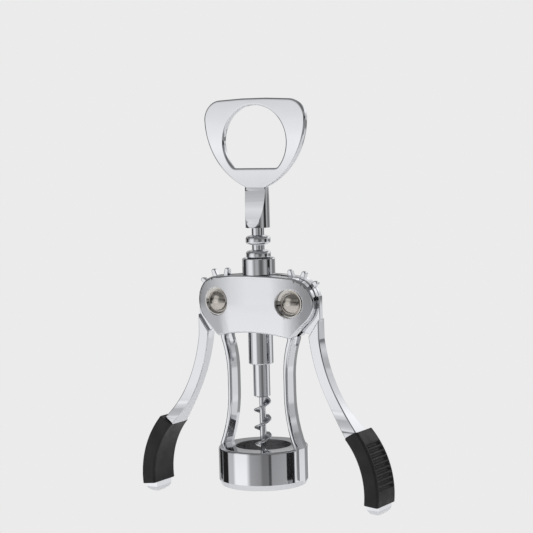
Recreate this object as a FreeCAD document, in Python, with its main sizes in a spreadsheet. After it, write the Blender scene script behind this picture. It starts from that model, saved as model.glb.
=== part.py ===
import FreeCAD, Part
import math
import os
import Sketcher
from FreeCAD import Placement, Rotation, Vector

# Wing corkscrew.  Millimetres, +Z up, front towards -Y.
# Origin: centre of the collar's mouth, where the bottle's neck goes in.

doc = FreeCAD.newDocument("wing_corkscrew")

# ---------------------------------------------------------------- sizes

SIZES = {
    # collar
    "collar_radius": 20.0,
    "collar_top": 17.0,
    "collar_edge_rise": 2.2,
    "collar_edge_inset": 0.9,
    "collar_top_round": 1.0,
    "bottle_bore_radius": 15.3,
    "cork_hole_radius": 12.3,
    "collar_floor": 2.5,
    # nylon ring in the collar
    "ring_thickness": 2.5,
    "ring_grip": 0.7,
    "ring_gap": 0.05,
    # legs, measured on the parting plane
    "leg_half_depth": 4.3,
    "leg_crease": 0.92,
    "leg_inner": 12.7,
    "leg_outer": 16.35,
    "leg_waist_low": 41.0,
    "leg_waist_high": 49.0,
    "leg_foot_outer": 21.2,
    "leg_foot_inner": 17.0,
    "leg_top_inner": 15.1,
    "leg_top_outer": 19.5,
    "leg_top_drop": 0.75,
    "leg_outer_low_bend": 60.0,
    "leg_outer_high_bend": 48.0,
    "leg_inner_low_bend": 69.0,
    "leg_inner_high_bend": 50.0,
    # head
    "head_mid_depth": 8.5,
    "head_face_radius": 105.0,
    "head_end_radius": 11.1,
    "head_flank_angle": 46.0,
    "head_top": 93.4,
    "head_arch_rise": 2.25,
    "head_corner_round": 1.6,
    "head_edge_round": 0.7,
    "slot_half": 1.9,
    "slot_floor": 62.0,
    "head_bore_radius": 5.9,
    # pivots
    "pivot_half_distance": 18.7,
    "pivot_z": 81.4,
    "pivot_radius": 2.5,
    "recess_radius": 6.2,
    "recess_seat": 5.1,
    "dome_radius": 4.7,
    "dome_rise": 2.0,
    "dome_edge": 0.3,
    "cap_pin_radius": 1.5,
    "cap_pin_length": 1.5,
    "cup_height": 0.9,
    "cup_lip": 0.35,
    "cup_gap": 0.1,
    "spacer_radius": 4.5,
    # neck sleeve
    "sleeve_radius": 7.34,
    "sleeve_top": 100.6,
    "sleeve_seat": 1.7,
    "sleeve_edge": 0.4,
    # rack
    "ring_pitch": 6.5,
    "rack_ring_count": 6,
    "top_ring_z": 108.5,
    "rack_radius": 5.55,
    "rack_tip_width": 3.0,
    "rack_neck_radius": 2.8,
    "ring_edge_round": 1.25,
    "barrel_edge_round": 0.5,
    "barrel_neck": 2.46,
    "barrel_bottom": 53.5,
    "barrel_socket": 6.0,
    # spindle
    "rod_radius": 1.8,
    "rod_in_hub": 9.0,
    "ferrule_radius": 3.75,
    "ferrule_bottom": 38.8,
    "ferrule_edge": 0.4,
    "worm_shank": 7.0,
    "worm_core_radius": 1.4,
    "worm_blade_radius": 3.95,
    "worm_blade_root": 1.3,
    "worm_blade_edge": 0.5,
    "worm_pitch": 7.8,
    "worm_start_angle": 46.15,
    "worm_blade_top": 37.6,
    "worm_tip": 12.6,
    "worm_point": 4.6,
    "worm_point_radius": 0.15,
    "washer_thickness": 0.8,
    "washer_radius": 4.0,
    # opener
    "hub_bottom": 114.0,
    "hub_radius": 5.45,
    "hub_flat_start": 0.1,
    "hub_flat_bend": 60.0,
    "opener_shoulder": 131.8,
    "opener_thickness": 2.8,
    "opener_top": 170.9,
    "opener_top_bend": 250.0,
    "opener_half_width": 26.1,
    "opener_corner": 8.6,
    "opener_flank": 33.2,
    "opener_edge_round": 0.5,
    "eye_radius": 16.0,
    "eye_z": 151.7,
    "eye_flat": 140.15,
    "eye_corner": 2.5,
    # levers
    "gear_teeth": 12,
    "gear_teeth_cut": 6,
    "gear_pressure_angle": 15.0,
    "gear_tip_radius": 15.0,
    "gear_root_radius": 12.8,
    "gear_backlash": 0.35,
    "gear_tip_round": 0.3,
    "blade_half": 1.35,
    "tongue_top": 84.7,
    "tongue_low": 69.9,
    "tongue_root": 1.0,
    "tongue_root_depth": 4.0,
    "arm_outer": 31.3,
    "arm_top": 73.1,
    "arm_inner": 26.6,
    "arm_inner_top": 67.4,
    "arm_bend_top": 64.0,
    "arm_outer_bend": 44.4,
    "arm_inner_bend": 64.0,
    "arm_flare_in": 4.3,
    "arm_flare_up": 2.72,
    "arm_half_depth": 2.55,
    "arm_foot_half_depth": 6.0,
    "arm_deepen_up": 14.1,
    "arm_deepen_bend": 30.0,
    "arm_edge_round": 0.45,
    "tang_half": 1.7,
    "tang_half_depth": 4.5,
    # grips
    "grip_centre_x": 19.7,
    "grip_centre_z": 0.0,
    "grip_bend": 38.3,
    "grip_half": 3.5,
    "grip_foot_angle": 6.3,
    "grip_top_inner_angle": 43.3,
    "grip_top_outer_angle": 41.1,
    "grip_half_depth": 8.3,
    "grip_top_half_depth": 7.1,
    "grip_side_bend": 140.0,
    "grip_edge_round": 1.2,
    "rib_count": 9,
    "rib_first_angle": 4.5,
    "rib_step": 3.3,
    "rib_groove": 1.0,
    "rib_depth": 0.6,
    "rib_half_length": 5.6,
    # end caps
    "cap_half": 2.95,
    "cap_half_depth": 5.7,
    "cap_height": 4.9,
    "cap_shoulder_drop": 1.95,
    "cap_end_bend": 3.6,
    "cap_side_bend": 6.6,
    "cap_stem_radius": 1.2,
    "cap_stem": 5.0,
    # fits
    "running_fit": 0.05,
    "press_fit": 0.02,
    "end_play": 0.1,
}

OVERSHOOT = 5.0  # how far a cutter runs past the face that it opens
BURIED = 2.0  # how far a piece of a solid reaches into the piece that it joins
SIDES = ((-1, "left"), (1, "right"))

sheet = doc.addObject("Spreadsheet::Sheet", "Sizes")
for row, (alias, number) in enumerate(SIZES.items(), start=1):
    sheet.set("A%d" % row, alias.replace("_", " "))
    sheet.set("B%d" % row, str(number))
    sheet.setAlias("B%d" % row, alias)
doc.recompute()


class Size:
    """A length with its value now and the sheet expression that it follows."""

    def __init__(self, value, text):
        self.value = float(value)
        self.text = text

    def join(self, other, sign, value):
        return Size(value, "(%s %s %s)" % (self.text, sign, as_size(other).text))

    def __add__(self, other):
        return self.join(other, "+", self.value + as_size(other).value)

    def __sub__(self, other):
        return self.join(other, "-", self.value - as_size(other).value)

    def __mul__(self, other):
        return self.join(other, "*", self.value * as_size(other).value)

    def __truediv__(self, other):
        return self.join(other, "/", self.value / as_size(other).value)

    def __neg__(self):
        return Size(-self.value, "(0 - %s)" % self.text)


def square_root(length):
    return Size(math.sqrt(length.value), "sqrt(%s)" % length.text)


def as_size(number):
    return number if isinstance(number, Size) else Size(number, repr(float(number)))


def size(alias):
    """The size that the sheet holds under this alias."""
    return Size(sheet.get(alias), "Sizes." + alias)


def bind(thing, **sizes):
    """Tie properties of an object to sizes; a double underscore stands for a dot."""
    for name, length in sizes.items():
        thing.setExpression(name.replace("__", "."), as_size(length).text)
    return thing


# ---------------------------------------------------------------- helpers

FRONT_PLANE = Placement(Vector(0, 0, 0), Rotation(Vector(1, 0, 0), 90))
SIDE_PLANE = Placement(Vector(0, 0, 0), Rotation(0.5, 0.5, 0.5, 0.5))


def arc_through(start, end, radius):
    """Short arc from start to end; its centre is on the left where radius is positive."""
    chord = end - start
    sideways = Vector(-chord.y, chord.x, 0).normalize()
    rise = math.sqrt(radius ** 2 - (chord.Length / 2) ** 2)
    centre = start + chord * 0.5 + sideways * math.copysign(rise, radius)
    first, last = (start, end) if radius > 0 else (end, start)
    angles = [math.atan2(point.y - centre.y, point.x - centre.x) for point in (first, last)]
    circle = Part.Circle(centre, Vector(0, 0, 1), abs(radius))
    return Part.ArcOfCircle(circle, angles[0], angles[1])


def draw(sketch, corners):
    """Closed outline through corners (x, z) or (x, z, radius of the next stretch)."""
    points = [Vector(as_size(c[0]).value, as_size(c[1]).value, 0) for c in corners]
    bends = [as_size(c[2]) if len(c) > 2 else None for c in corners]
    starts = []
    for index, bend in enumerate(bends):
        start = points[index]
        end = points[(index + 1) % len(points)]
        if bend is None:
            sketch.addGeometry(Part.LineSegment(start, end), False)
            starts.append((1, 2))
            continue
        sketch.addGeometry(arc_through(start, end, bend.value), False)
        starts.append((1, 2) if bend.value > 0 else (2, 1))
    for index, corner in enumerate(corners):
        following = (index + 1) % len(corners)
        sketch.addConstraint(
            Sketcher.Constraint("Coincident", index, starts[index][1], following, starts[following][0])
        )
        for kind, length, axis in (("DistanceX", corner[0], -2), ("DistanceY", corner[1], -1)):
            length = as_size(length)
            place = (index, starts[index][0])
            if length.value == 0.0:
                sketch.addConstraint(Sketcher.Constraint("PointOnObject", place[0], place[1], axis))
                continue
            number = sketch.addConstraint(
                Sketcher.Constraint(kind, -1, 1, place[0], place[1], length.value)
            )
            sketch.setExpression("Constraints[%d]" % number, length.text)
        if bends[index] is not None:
            bend = bends[index] if bends[index].value > 0 else -bends[index]
            number = sketch.addConstraint(Sketcher.Constraint("Radius", index, bend.value))
            sketch.setExpression("Constraints[%d]" % number, bend.text)


def outline(name, corners, plane):
    """A sketch on the front or the side plane, outside any body."""
    sketch = doc.addObject("Sketcher::SketchObject", name)
    sketch.Placement = plane
    draw(sketch, corners)
    return sketch


def slab(name, corners, half, plane=FRONT_PLANE):
    """An outline extruded by half to both sides of its plane."""
    sketch = outline(name + "_outline", corners, plane)
    solid = doc.addObject("Part::Extrusion", name)
    solid.Base = sketch
    solid.DirMode = "Custom"
    solid.Dir = plane.Rotation.multVec(Vector(0, 0, 1))
    solid.Solid = True
    bind(solid, LengthFwd=half, LengthRev=half)
    return solid


def turned(name, corners):
    """A lathe-turned body: its half section (radius, height) revolved about Z."""
    body = doc.addObject("PartDesign::Body", name)
    body.Label = name
    plane = [f for f in body.Origin.OriginFeatures if f.Role == "XZ_Plane"][0]
    sketch = body.newObject("Sketcher::SketchObject", name + "_section")
    sketch.AttachmentSupport = (plane, "")
    sketch.MapMode = "FlatFace"
    draw(sketch, corners)
    solid = body.newObject("PartDesign::Revolution", name + "_turned")
    solid.Profile = sketch
    solid.ReferenceAxis = (sketch, ["V_Axis"])
    solid.Angle = 360
    doc.recompute()
    return body


def round_rims(body, name, edge_round, rim_radius, low, high):
    """Round the body's circular edges of this radius that lie between two heights."""
    solid = body.Tip
    rims = []
    for number, edge in enumerate(solid.Shape.Edges, start=1):
        if isinstance(edge.Curve, Part.Circle) and abs(edge.Curve.Radius - rim_radius.value) < 1e-4:
            if low.value - 1e-4 < edge.Curve.Center.z < high.value + 1e-4:
                rims.append("Edge%d" % number)
    fillet = body.newObject("PartDesign::Fillet", name)
    fillet.Base = (solid, rims)
    bind(fillet, Radius=edge_round)
    doc.recompute()


def cylinder(name, radius, low, high, x=0.0, y=0.0):
    """An upright cylinder from low to high."""
    low = as_size(low)
    solid = doc.addObject("Part::Cylinder", name)
    bind(solid, Radius=radius, Height=as_size(high) - low)
    bind(solid, Placement__Base__x=x, Placement__Base__y=y, Placement__Base__z=low)
    return solid


def crosswise(name, radius, front, back, side=1):
    """A cylinder along Y at one pivot, from y = front to y = back."""
    front = as_size(front)
    solid = doc.addObject("Part::Cylinder", name)
    solid.Placement = Placement(Vector(0, 0, 0), Rotation(Vector(1, 0, 0), -90))
    bind(solid, Radius=radius, Height=as_size(back) - front)
    bind(solid, Placement__Base__x=size("pivot_half_distance") * side)
    bind(solid, Placement__Base__y=front, Placement__Base__z=size("pivot_z"))
    return solid


def box(name, low, high):
    """A box between two corners given as sizes or numbers."""
    solid = doc.addObject("Part::Box", name)
    for edge, axis, start, end in zip(("Length", "Width", "Height"), "xyz", low, high):
        bind(solid, **{edge: as_size(end) - as_size(start), "Placement__Base__" + axis: start})
    return solid


def joined(kind, name, solids):
    """Part::MultiFuse or Part::MultiCommon of several solids."""
    result = doc.addObject("Part::" + kind, name)
    result.Shapes = solids
    return result


def cut(name, solid, tools):
    """The solid less all the tools."""
    tool = tools[0] if len(tools) == 1 else joined("MultiFuse", name + "_tools", tools)
    result = doc.addObject("Part::Cut", name)
    result.Base = solid
    result.Tool = tool
    return result


def mirrored(name, source):
    """The same piece for the left side."""
    result = doc.addObject("Part::Mirroring", name)
    result.Source = source
    result.Normal = Vector(1, 0, 0)
    return result


def rounded(name, solid, radius, wanted):
    """The solid with each edge that wanted(edge) picks rounded."""
    doc.recompute()
    picks = [n for n, edge in enumerate(solid.Shape.Edges, start=1) if wanted(edge)]
    result = doc.addObject("Part::Fillet", name)
    result.Base = solid
    result.Edges = [(n, radius.value, radius.value) for n in picks]
    return result


def edge_middle(edge):
    return edge.valueAt((edge.FirstParameter + edge.LastParameter) / 2)


# ---------------------------------------------------------------- body casting

ring_top = size("collar_top") - size("collar_floor")
bore_depth = ring_top - size("ring_thickness")
ring_groove_radius = size("bottle_bore_radius") + size("ring_grip")
top_round = size("collar_top_round")

collar_blank = turned(
    "collar_blank",
    [
        (size("bottle_bore_radius"), 0.0),
        (size("collar_radius") - size("collar_edge_inset"), 0.0),
        (size("collar_radius"), size("collar_edge_rise")),
        (size("collar_radius"), size("collar_top") - top_round, top_round),
        (size("collar_radius") - top_round, size("collar_top")),
        (size("cork_hole_radius"), size("collar_top")),
        (size("cork_hole_radius"), ring_top),
        (ring_groove_radius, ring_top),
        (ring_groove_radius, bore_depth),
        (size("bottle_bore_radius"), bore_depth),
    ],
)

# The head's ends are round about the pivots.  Its arched top and its straight flanks
# run tangent into them, and the flanks lead down to the legs and the arch between them.
pivot_x = size("pivot_half_distance")
head_end = size("head_end_radius")
head_side = pivot_x + head_end
flank_turn = math.radians(sheet.head_flank_angle)
flank_x = pivot_x + head_end * math.cos(flank_turn)
flank_z = size("pivot_z") - head_end * math.sin(flank_turn)
arch_end_x = size("leg_top_outer") - size("leg_crease")
arch_end_z = flank_z - (flank_x - arch_end_x) / math.tan(flank_turn)
arch_rise = size("head_arch_rise")
arch_z = arch_end_z + arch_rise
arch_bend = (arch_end_x * arch_end_x + arch_rise * arch_rise) / (arch_rise * 2.0)
leg_top = arch_end_z - size("leg_top_drop")


def leg_corners(inset):
    """Outline of the right leg; inset moves both long edges into the leg."""
    outer_foot = size("leg_foot_outer") - inset
    outer_top = size("leg_top_outer") - inset
    inner_foot = size("leg_foot_inner") + inset
    inner_top = size("leg_top_inner") + inset
    buried_top = arch_z + BURIED
    return [
        (outer_foot, size("collar_edge_rise")),
        (outer_foot, size("collar_top"), -size("leg_outer_low_bend")),
        (size("leg_outer") - inset, size("leg_waist_low")),
        (size("leg_outer") - inset, size("leg_waist_high"), -size("leg_outer_high_bend")),
        (outer_top, leg_top),
        (outer_top, buried_top),
        (inner_top, buried_top),
        (inner_top, leg_top, size("leg_inner_high_bend")),
        (size("leg_inner") + inset, size("leg_waist_high")),
        (size("leg_inner") + inset, size("leg_waist_low"), size("leg_inner_low_bend")),
        (inner_foot, size("collar_top")),
        (inner_foot, size("collar_edge_rise")),
    ]


# The leg is widest at the parting plane and narrower at its front and rear faces.
leg_sections = []
for word, depth in (("front", -1), ("middle", 0), ("rear", 1)):
    section = outline("right_leg_%s" % word, leg_corners(size("leg_crease") * abs(depth)), FRONT_PLANE)
    bind(section, Placement__Base__y=size("leg_half_depth") * depth)
    leg_sections.append(section)
right_leg = doc.addObject("Part::Loft", "right_leg_blank")
right_leg.Sections = leg_sections
right_leg.Solid = True
right_leg.Ruled = True
left_leg = mirrored("left_leg_blank", right_leg)

head_rise = size("head_top") - size("pivot_z")
spread = pivot_x * pivot_x + head_rise * head_rise - head_end * head_end
head_top_bend = spread / ((head_rise - head_end) * 2.0)
top_centre_z = size("head_top") - head_top_bend
top_share = head_top_bend / (head_top_bend - head_end)
head_tangent_x = pivot_x * top_share
head_tangent_z = top_centre_z + (size("pivot_z") - top_centre_z) * top_share
head_slab = slab(
    "head_slab",
    [
        (-arch_end_x, arch_end_z),
        (-flank_x, flank_z, -head_end),
        (-head_side, size("pivot_z"), -head_end),
        (-head_tangent_x, head_tangent_z, -head_top_bend),
        (0.0, size("head_top"), -head_top_bend),
        (head_tangent_x, head_tangent_z, -head_end),
        (head_side, size("pivot_z"), -head_end),
        (flank_x, flank_z),
        (arch_end_x, arch_end_z, arch_bend),
    ],
    size("head_mid_depth") + OVERSHOOT,
)


def arch_corner(edge):
    """True for the two edges along Y where the flanks meet the arch."""
    middle = edge_middle(edge)
    sideways = abs(abs(middle.x) - arch_end_x.value) < 1e-3
    return sideways and abs(middle.z - arch_end_z.value) < 1e-3


head_cornered = rounded("head_cornered", head_slab, size("head_corner_round"), arch_corner)
face_offset = size("head_face_radius") - size("head_mid_depth")
lens_top = size("head_top") + OVERSHOOT
front_lens = cylinder("front_lens", size("head_face_radius"), 0.0, lens_top, y=face_offset)
rear_lens = cylinder("rear_lens", size("head_face_radius"), 0.0, lens_top, y=-face_offset)
head = joined("MultiCommon", "head_blank", [head_cornered, front_lens, rear_lens])


def on_lens(edge):
    """True for an edge that lies on the head's front or rear face."""
    middle = edge_middle(edge)
    radius = size("head_face_radius").value
    depth = math.sqrt(radius ** 2 - middle.x ** 2) - face_offset.value
    return abs(abs(middle.y) - depth) < 1e-3


head_soft = rounded("head_soft", head, size("head_edge_round"), on_lens)
casting_blank = joined("MultiFuse", "casting_blank", [head_soft, right_leg, left_leg, collar_blank])

slot_reach = head_side + OVERSHOOT
above_head = size("head_top") + OVERSHOOT
seat_bottom = size("head_top") - size("sleeve_seat")
sleeve_hole = size("sleeve_radius") + size("press_fit")
openings = [
    box(
        "lever_slot",
        (-slot_reach, -size("slot_half"), size("slot_floor")),
        (slot_reach, size("slot_half"), above_head),
    ),
    cylinder("head_bore", size("head_bore_radius"), arch_z - OVERSHOOT, above_head),
    cylinder("sleeve_seat", sleeve_hole, seat_bottom, above_head),
    cylinder("bottle_room", size("bottle_bore_radius"), -OVERSHOOT, bore_depth),
]
pin_hole_radius = size("pivot_radius") + size("press_fit")
outside = size("head_mid_depth") + OVERSHOOT
for side, word in SIDES:
    openings += [
        crosswise(word + "_pin_bore", pin_hole_radius, -outside, outside, side),
        crosswise(word + "_front_recess", size("recess_radius"), -outside, -size("recess_seat"), side),
        crosswise(word + "_rear_recess", size("recess_radius"), size("recess_seat"), outside, side),
    ]
body_casting = cut("body_casting", casting_blank, openings)

# ---------------------------------------------------------------- collar ring and neck sleeve

ring_bottom = bore_depth + size("ring_gap")
ring_rim = ring_groove_radius - size("ring_gap")
bottle_ring = turned(
    "bottle_ring",
    [
        (size("cork_hole_radius"), ring_bottom),
        (ring_rim, ring_bottom),
        (ring_rim, ring_top),
        (size("cork_hole_radius"), ring_top),
    ],
)

sleeve_bore = size("rack_radius") + size("running_fit")
neck_sleeve = turned(
    "neck_sleeve",
    [
        (sleeve_bore, seat_bottom),
        (size("sleeve_radius"), seat_bottom),
        (size("sleeve_radius"), size("sleeve_top") - size("sleeve_edge")),
        (size("sleeve_radius") - size("sleeve_edge"), size("sleeve_top")),
        (sleeve_bore + size("sleeve_edge"), size("sleeve_top")),
        (sleeve_bore, size("sleeve_top") - size("sleeve_edge")),
    ],
)

# ---------------------------------------------------------------- pivots

# Each pivot is drawn standing up and laid along Y: its base (height 0) on y = 0,
# its front end towards -Y.
LAID_FORWARD = Rotation(Vector(1, 0, 0), 90)
LAID_BACK = Rotation(Vector(1, 0, 0), -90)


def at_pivot(piece, side, turn):
    """Lay a turned piece along the axis of the left (-1) or right (1) pivot."""
    piece.Placement = Placement(Vector(0, 0, 0), turn)
    bind(piece, Placement__Base__x=size("pivot_half_distance") * side)
    bind(piece, Placement__Base__z=size("pivot_z"))
    return piece


def dome_bend():
    """Radius of the sphere that the domed heads are cut from."""
    half = size("dome_radius")
    rise = size("dome_rise")
    return (half * half + rise * rise) / (rise * 2.0)


dome_shoulder = size("recess_seat") + size("dome_edge")
dome_top = dome_shoulder + size("dome_rise")
bolt_step = -size("recess_seat") + size("running_fit")
bolt_end = -size("recess_seat") - size("cap_pin_length")
cap_socket_top = -bolt_end + size("running_fit")
cap_socket_radius = size("cap_pin_radius") + size("press_fit")
for side, word in SIDES:
    bolt = turned(
        word + "_pivot_bolt",
        [
            (0.0, bolt_end),
            (size("cap_pin_radius"), bolt_end),
            (size("cap_pin_radius"), bolt_step),
            (size("pivot_radius"), bolt_step),
            (size("pivot_radius"), size("recess_seat")),
            (size("dome_radius"), size("recess_seat")),
            (size("dome_radius"), dome_shoulder, dome_bend()),
            (0.0, dome_top),
        ],
    )
    at_pivot(bolt, side, LAID_FORWARD)
    cap = turned(
        word + "_pivot_cap",
        [
            (cap_socket_radius, size("recess_seat")),
            (size("dome_radius"), size("recess_seat")),
            (size("dome_radius"), dome_shoulder, dome_bend()),
            (0.0, dome_top),
            (0.0, cap_socket_top),
            (cap_socket_radius, cap_socket_top),
        ],
    )
    at_pivot(cap, side, LAID_BACK)

cup_bore = size("dome_radius") + size("cup_gap")
cup_rim = size("recess_radius") - size("cup_gap")
cup_top = size("recess_seat") + size("cup_height")
spacer_bore = size("pivot_radius") + size("running_fit")
spacer_low = size("blade_half") + size("running_fit")
cups = []
spacers = []
for side, word in SIDES:
    for turn, end in ((LAID_FORWARD, "front"), (LAID_BACK, "rear")):
        cup = turned(
            "%s_%s_cup" % (word, end),
            [
                (cup_bore, size("recess_seat")),
                (cup_rim, size("recess_seat")),
                (cup_rim, cup_top),
                (cup_rim - size("cup_lip"), cup_top),
                (cup_bore, dome_shoulder),
            ],
        )
        cups.append(at_pivot(cup, side, turn))
        spacer = turned(
            "%s_%s_spacer" % (word, end),
            [
                (spacer_bore, spacer_low),
                (size("spacer_radius"), spacer_low),
                (size("spacer_radius"), size("slot_half")),
                (spacer_bore, size("slot_half")),
            ],
        )
        spacers.append(at_pivot(spacer, side, turn))
doc.addObject("Part::Compound", "pivot_cup_washers").Links = cups
doc.addObject("Part::Compound", "pivot_spacers").Links = spacers

# ---------------------------------------------------------------- rack

rack_bore = size("rod_radius") + size("running_fit")
flank_slope = math.tan(math.radians(sheet.gear_pressure_angle))
tube_top = size("hub_bottom") + size("end_play") * 2.0
ring_half_tip = size("rack_tip_width") * 0.5
ring_half_root = ring_half_tip + (size("rack_radius") - size("rack_neck_radius")) * flank_slope
rack_corners = [
    (rack_bore, tube_top),
    (size("rack_neck_radius"), tube_top),
]
for number in range(int(sheet.rack_ring_count)):
    middle = size("top_ring_z") - size("ring_pitch") * number
    rack_corners += [
        (size("rack_neck_radius"), middle + ring_half_root),
        (size("rack_radius"), middle + ring_half_tip),
        (size("rack_radius"), middle - ring_half_tip),
        (size("rack_neck_radius"), middle - ring_half_root),
    ]
barrel_top = middle - ring_half_root - size("barrel_neck")
socket_top = size("barrel_bottom") + size("barrel_socket")
socket_radius = size("ferrule_radius") + size("running_fit")
rack_corners += [
    (size("rack_neck_radius"), barrel_top),
    (size("rack_radius"), barrel_top),
    (size("rack_radius"), size("barrel_bottom")),
    (socket_radius, size("barrel_bottom")),
    (socket_radius, socket_top),
    (rack_bore, socket_top),
]
rack_sleeve = turned("rack_sleeve", rack_corners)
barrel = (size("rack_radius"), size("barrel_bottom"), barrel_top)
rings = (size("rack_radius"), barrel_top + size("barrel_neck"), tube_top)
round_rims(rack_sleeve, "barrel_rounded", size("barrel_edge_round"), *barrel)
round_rims(rack_sleeve, "rings_rounded", size("ring_edge_round"), *rings)

# ---------------------------------------------------------------- spindle

ferrule_top = socket_top - size("end_play")
ferrule_step = size("ferrule_bottom") + size("worm_shank")
washer_low = tube_top + size("end_play")
washer_high = washer_low + size("washer_thickness")
rod_top = size("hub_bottom") + size("rod_in_hub")
rod_hole = size("rod_radius") + size("press_fit")
worm_hole = size("worm_core_radius") + size("press_fit")

thrust_washer = turned(
    "thrust_washer",
    [
        (rack_bore, washer_low),
        (size("washer_radius"), washer_low),
        (size("washer_radius"), washer_high),
        (rack_bore, washer_high),
    ],
)

spindle_rod = turned(
    "spindle_rod",
    [
        (0.0, ferrule_step),
        (size("rod_radius"), ferrule_step),
        (size("rod_radius"), rod_top),
        (0.0, rod_top),
    ],
)

worm_ferrule = turned(
    "worm_ferrule",
    [
        (worm_hole, size("ferrule_bottom")),
        (size("ferrule_radius") - size("ferrule_edge"), size("ferrule_bottom")),
        (size("ferrule_radius"), size("ferrule_bottom") + size("ferrule_edge")),
        (size("ferrule_radius"), ferrule_top),
        (rod_hole, ferrule_top),
        (rod_hole, ferrule_step),
        (worm_hole, ferrule_step),
    ],
)


def worm_shape():
    """Core, helical blade and point of the worm."""
    core_radius = sheet.worm_core_radius
    blade_radius = sheet.worm_blade_radius
    shank_top = sheet.ferrule_bottom + sheet.worm_shank
    tip = sheet.worm_tip
    point = sheet.worm_point
    blade_rise = sheet.worm_blade_top - tip
    inside = core_radius / 2
    beyond = blade_radius + OVERSHOOT

    helix = Part.makeHelix(sheet.worm_pitch, blade_rise, core_radius)
    half_root = sheet.worm_blade_root / 2
    half_edge = sheet.worm_blade_edge / 2
    section = Part.makePolygon([
        Vector(inside, 0, -half_root),
        Vector(blade_radius, 0, -half_edge),
        Vector(blade_radius, 0, half_edge),
        Vector(inside, 0, half_root),
        Vector(inside, 0, -half_root),
    ])
    blade = Part.Wire(helix).makePipeShell([section], True, True)
    blade.translate(Vector(0, 0, tip))
    blade.rotate(Vector(0, 0, 0), Vector(0, 0, 1), sheet.worm_start_angle)
    core = Part.makeCylinder(core_radius, shank_top - tip, Vector(0, 0, tip))
    room = Part.makeCylinder(beyond, shank_top - tip - point, Vector(0, 0, tip + point))
    mouth = core_radius + blade_radius
    cone = Part.makeCone(sheet.worm_point_radius, mouth, point, Vector(0, 0, tip))
    return core.fuse(blade).common(room.fuse(cone)).removeSplitter()


worm = doc.addObject("Part::Feature", "worm")
worm.Shape = worm_shape()

# ---------------------------------------------------------------- opener

# The corner arcs run tangent into the gently arched top edge.
plate_foot = size("opener_shoulder")
half_plate = size("opener_thickness") * 0.5
top_bend = size("opener_top_bend")
to_corner = top_bend - size("opener_corner")
corner_x = size("opener_half_width") - size("opener_corner")
corner_rise = square_root(to_corner * to_corner - corner_x * corner_x)
corner_z = size("opener_top") - top_bend + corner_rise
tangent_x = corner_x * top_bend / to_corner
tangent_z = size("opener_top") - top_bend + corner_rise * top_bend / to_corner
opener_plate = slab(
    "opener_plate",
    [
        (-size("hub_radius"), plate_foot),
        (size("hub_radius"), plate_foot, size("opener_flank")),
        (size("opener_half_width"), corner_z, size("opener_corner")),
        (tangent_x, tangent_z, top_bend),
        (-tangent_x, tangent_z, size("opener_corner")),
        (-size("opener_half_width"), corner_z, size("opener_flank")),
    ],
    half_plate,
)


def eye_shape():
    """Cutter for the D-shaped eye, with soft corners at its flat side."""
    reach = sheet.opener_thickness + OVERSHOOT
    radius = sheet.eye_radius
    start = Vector(0, -reach, sheet.eye_z)
    disc = Part.makeCylinder(radius, 2 * reach, start, Vector(0, 1, 0))
    above_flat = Part.makeBox(2 * radius, 2 * reach, 2 * radius)
    above_flat.translate(Vector(-radius, -reach, sheet.eye_flat))
    eye = disc.common(above_flat)
    corners = []
    for edge in eye.Edges:
        along_y = abs(edge.Length - 2 * reach) < 1e-6
        if along_y and abs(edge.Vertexes[0].Z - sheet.eye_flat) < 1e-6:
            corners.append(edge)
    return eye.makeFillet(sheet.eye_corner, corners)


eye = doc.addObject("Part::Feature", "opener_eye")
eye.Shape = eye_shape()
opener_sheet = cut("opener_sheet", opener_plate, [eye])


def on_plate_face(edge):
    """True for an edge of the plate's two faces, except at the hub."""
    middle = edge_middle(edge)
    on_face = abs(abs(middle.y) - sheet.opener_thickness / 2) < 1e-6
    return on_face and middle.z > sheet.opener_shoulder + 1e-3


opener_soft = rounded("opener_soft", opener_sheet, size("opener_edge_round"), on_plate_face)

# The round hub thins towards the plate between two hollow flats.
hub_round = cylinder("hub_round", size("hub_radius"), size("hub_bottom"), plate_foot)
wedge_foot = size("hub_radius") + size("hub_flat_start")
hub_wedge = slab(
    "hub_wedge",
    [
        (-wedge_foot, size("hub_bottom")),
        (wedge_foot, size("hub_bottom"), -size("hub_flat_bend")),
        (half_plate, plate_foot),
        (-half_plate, plate_foot, -size("hub_flat_bend")),
    ],
    size("hub_radius") + OVERSHOOT,
    SIDE_PLANE,
)
hub = joined("MultiCommon", "hub_blank", [hub_round, hub_wedge])
opener_blank = joined("MultiFuse", "opener_blank", [opener_soft, hub])
below_hub = size("hub_bottom") - OVERSHOOT
washer_room = size("washer_radius") + size("running_fit")
rod_socket = cylinder("rod_socket", rod_hole, below_hub, rod_top + size("running_fit"))
washer_seat = cylinder("washer_seat", washer_room, below_hub, washer_high)
bottle_opener = cut("bottle_opener", opener_blank, [rod_socket, washer_seat])

# ---------------------------------------------------------------- levers


def involute(radius, base):
    """Involute function of the point of a flank at this radius."""
    angle = math.acos(min(1.0, base / radius))
    return math.tan(angle) - angle


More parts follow.
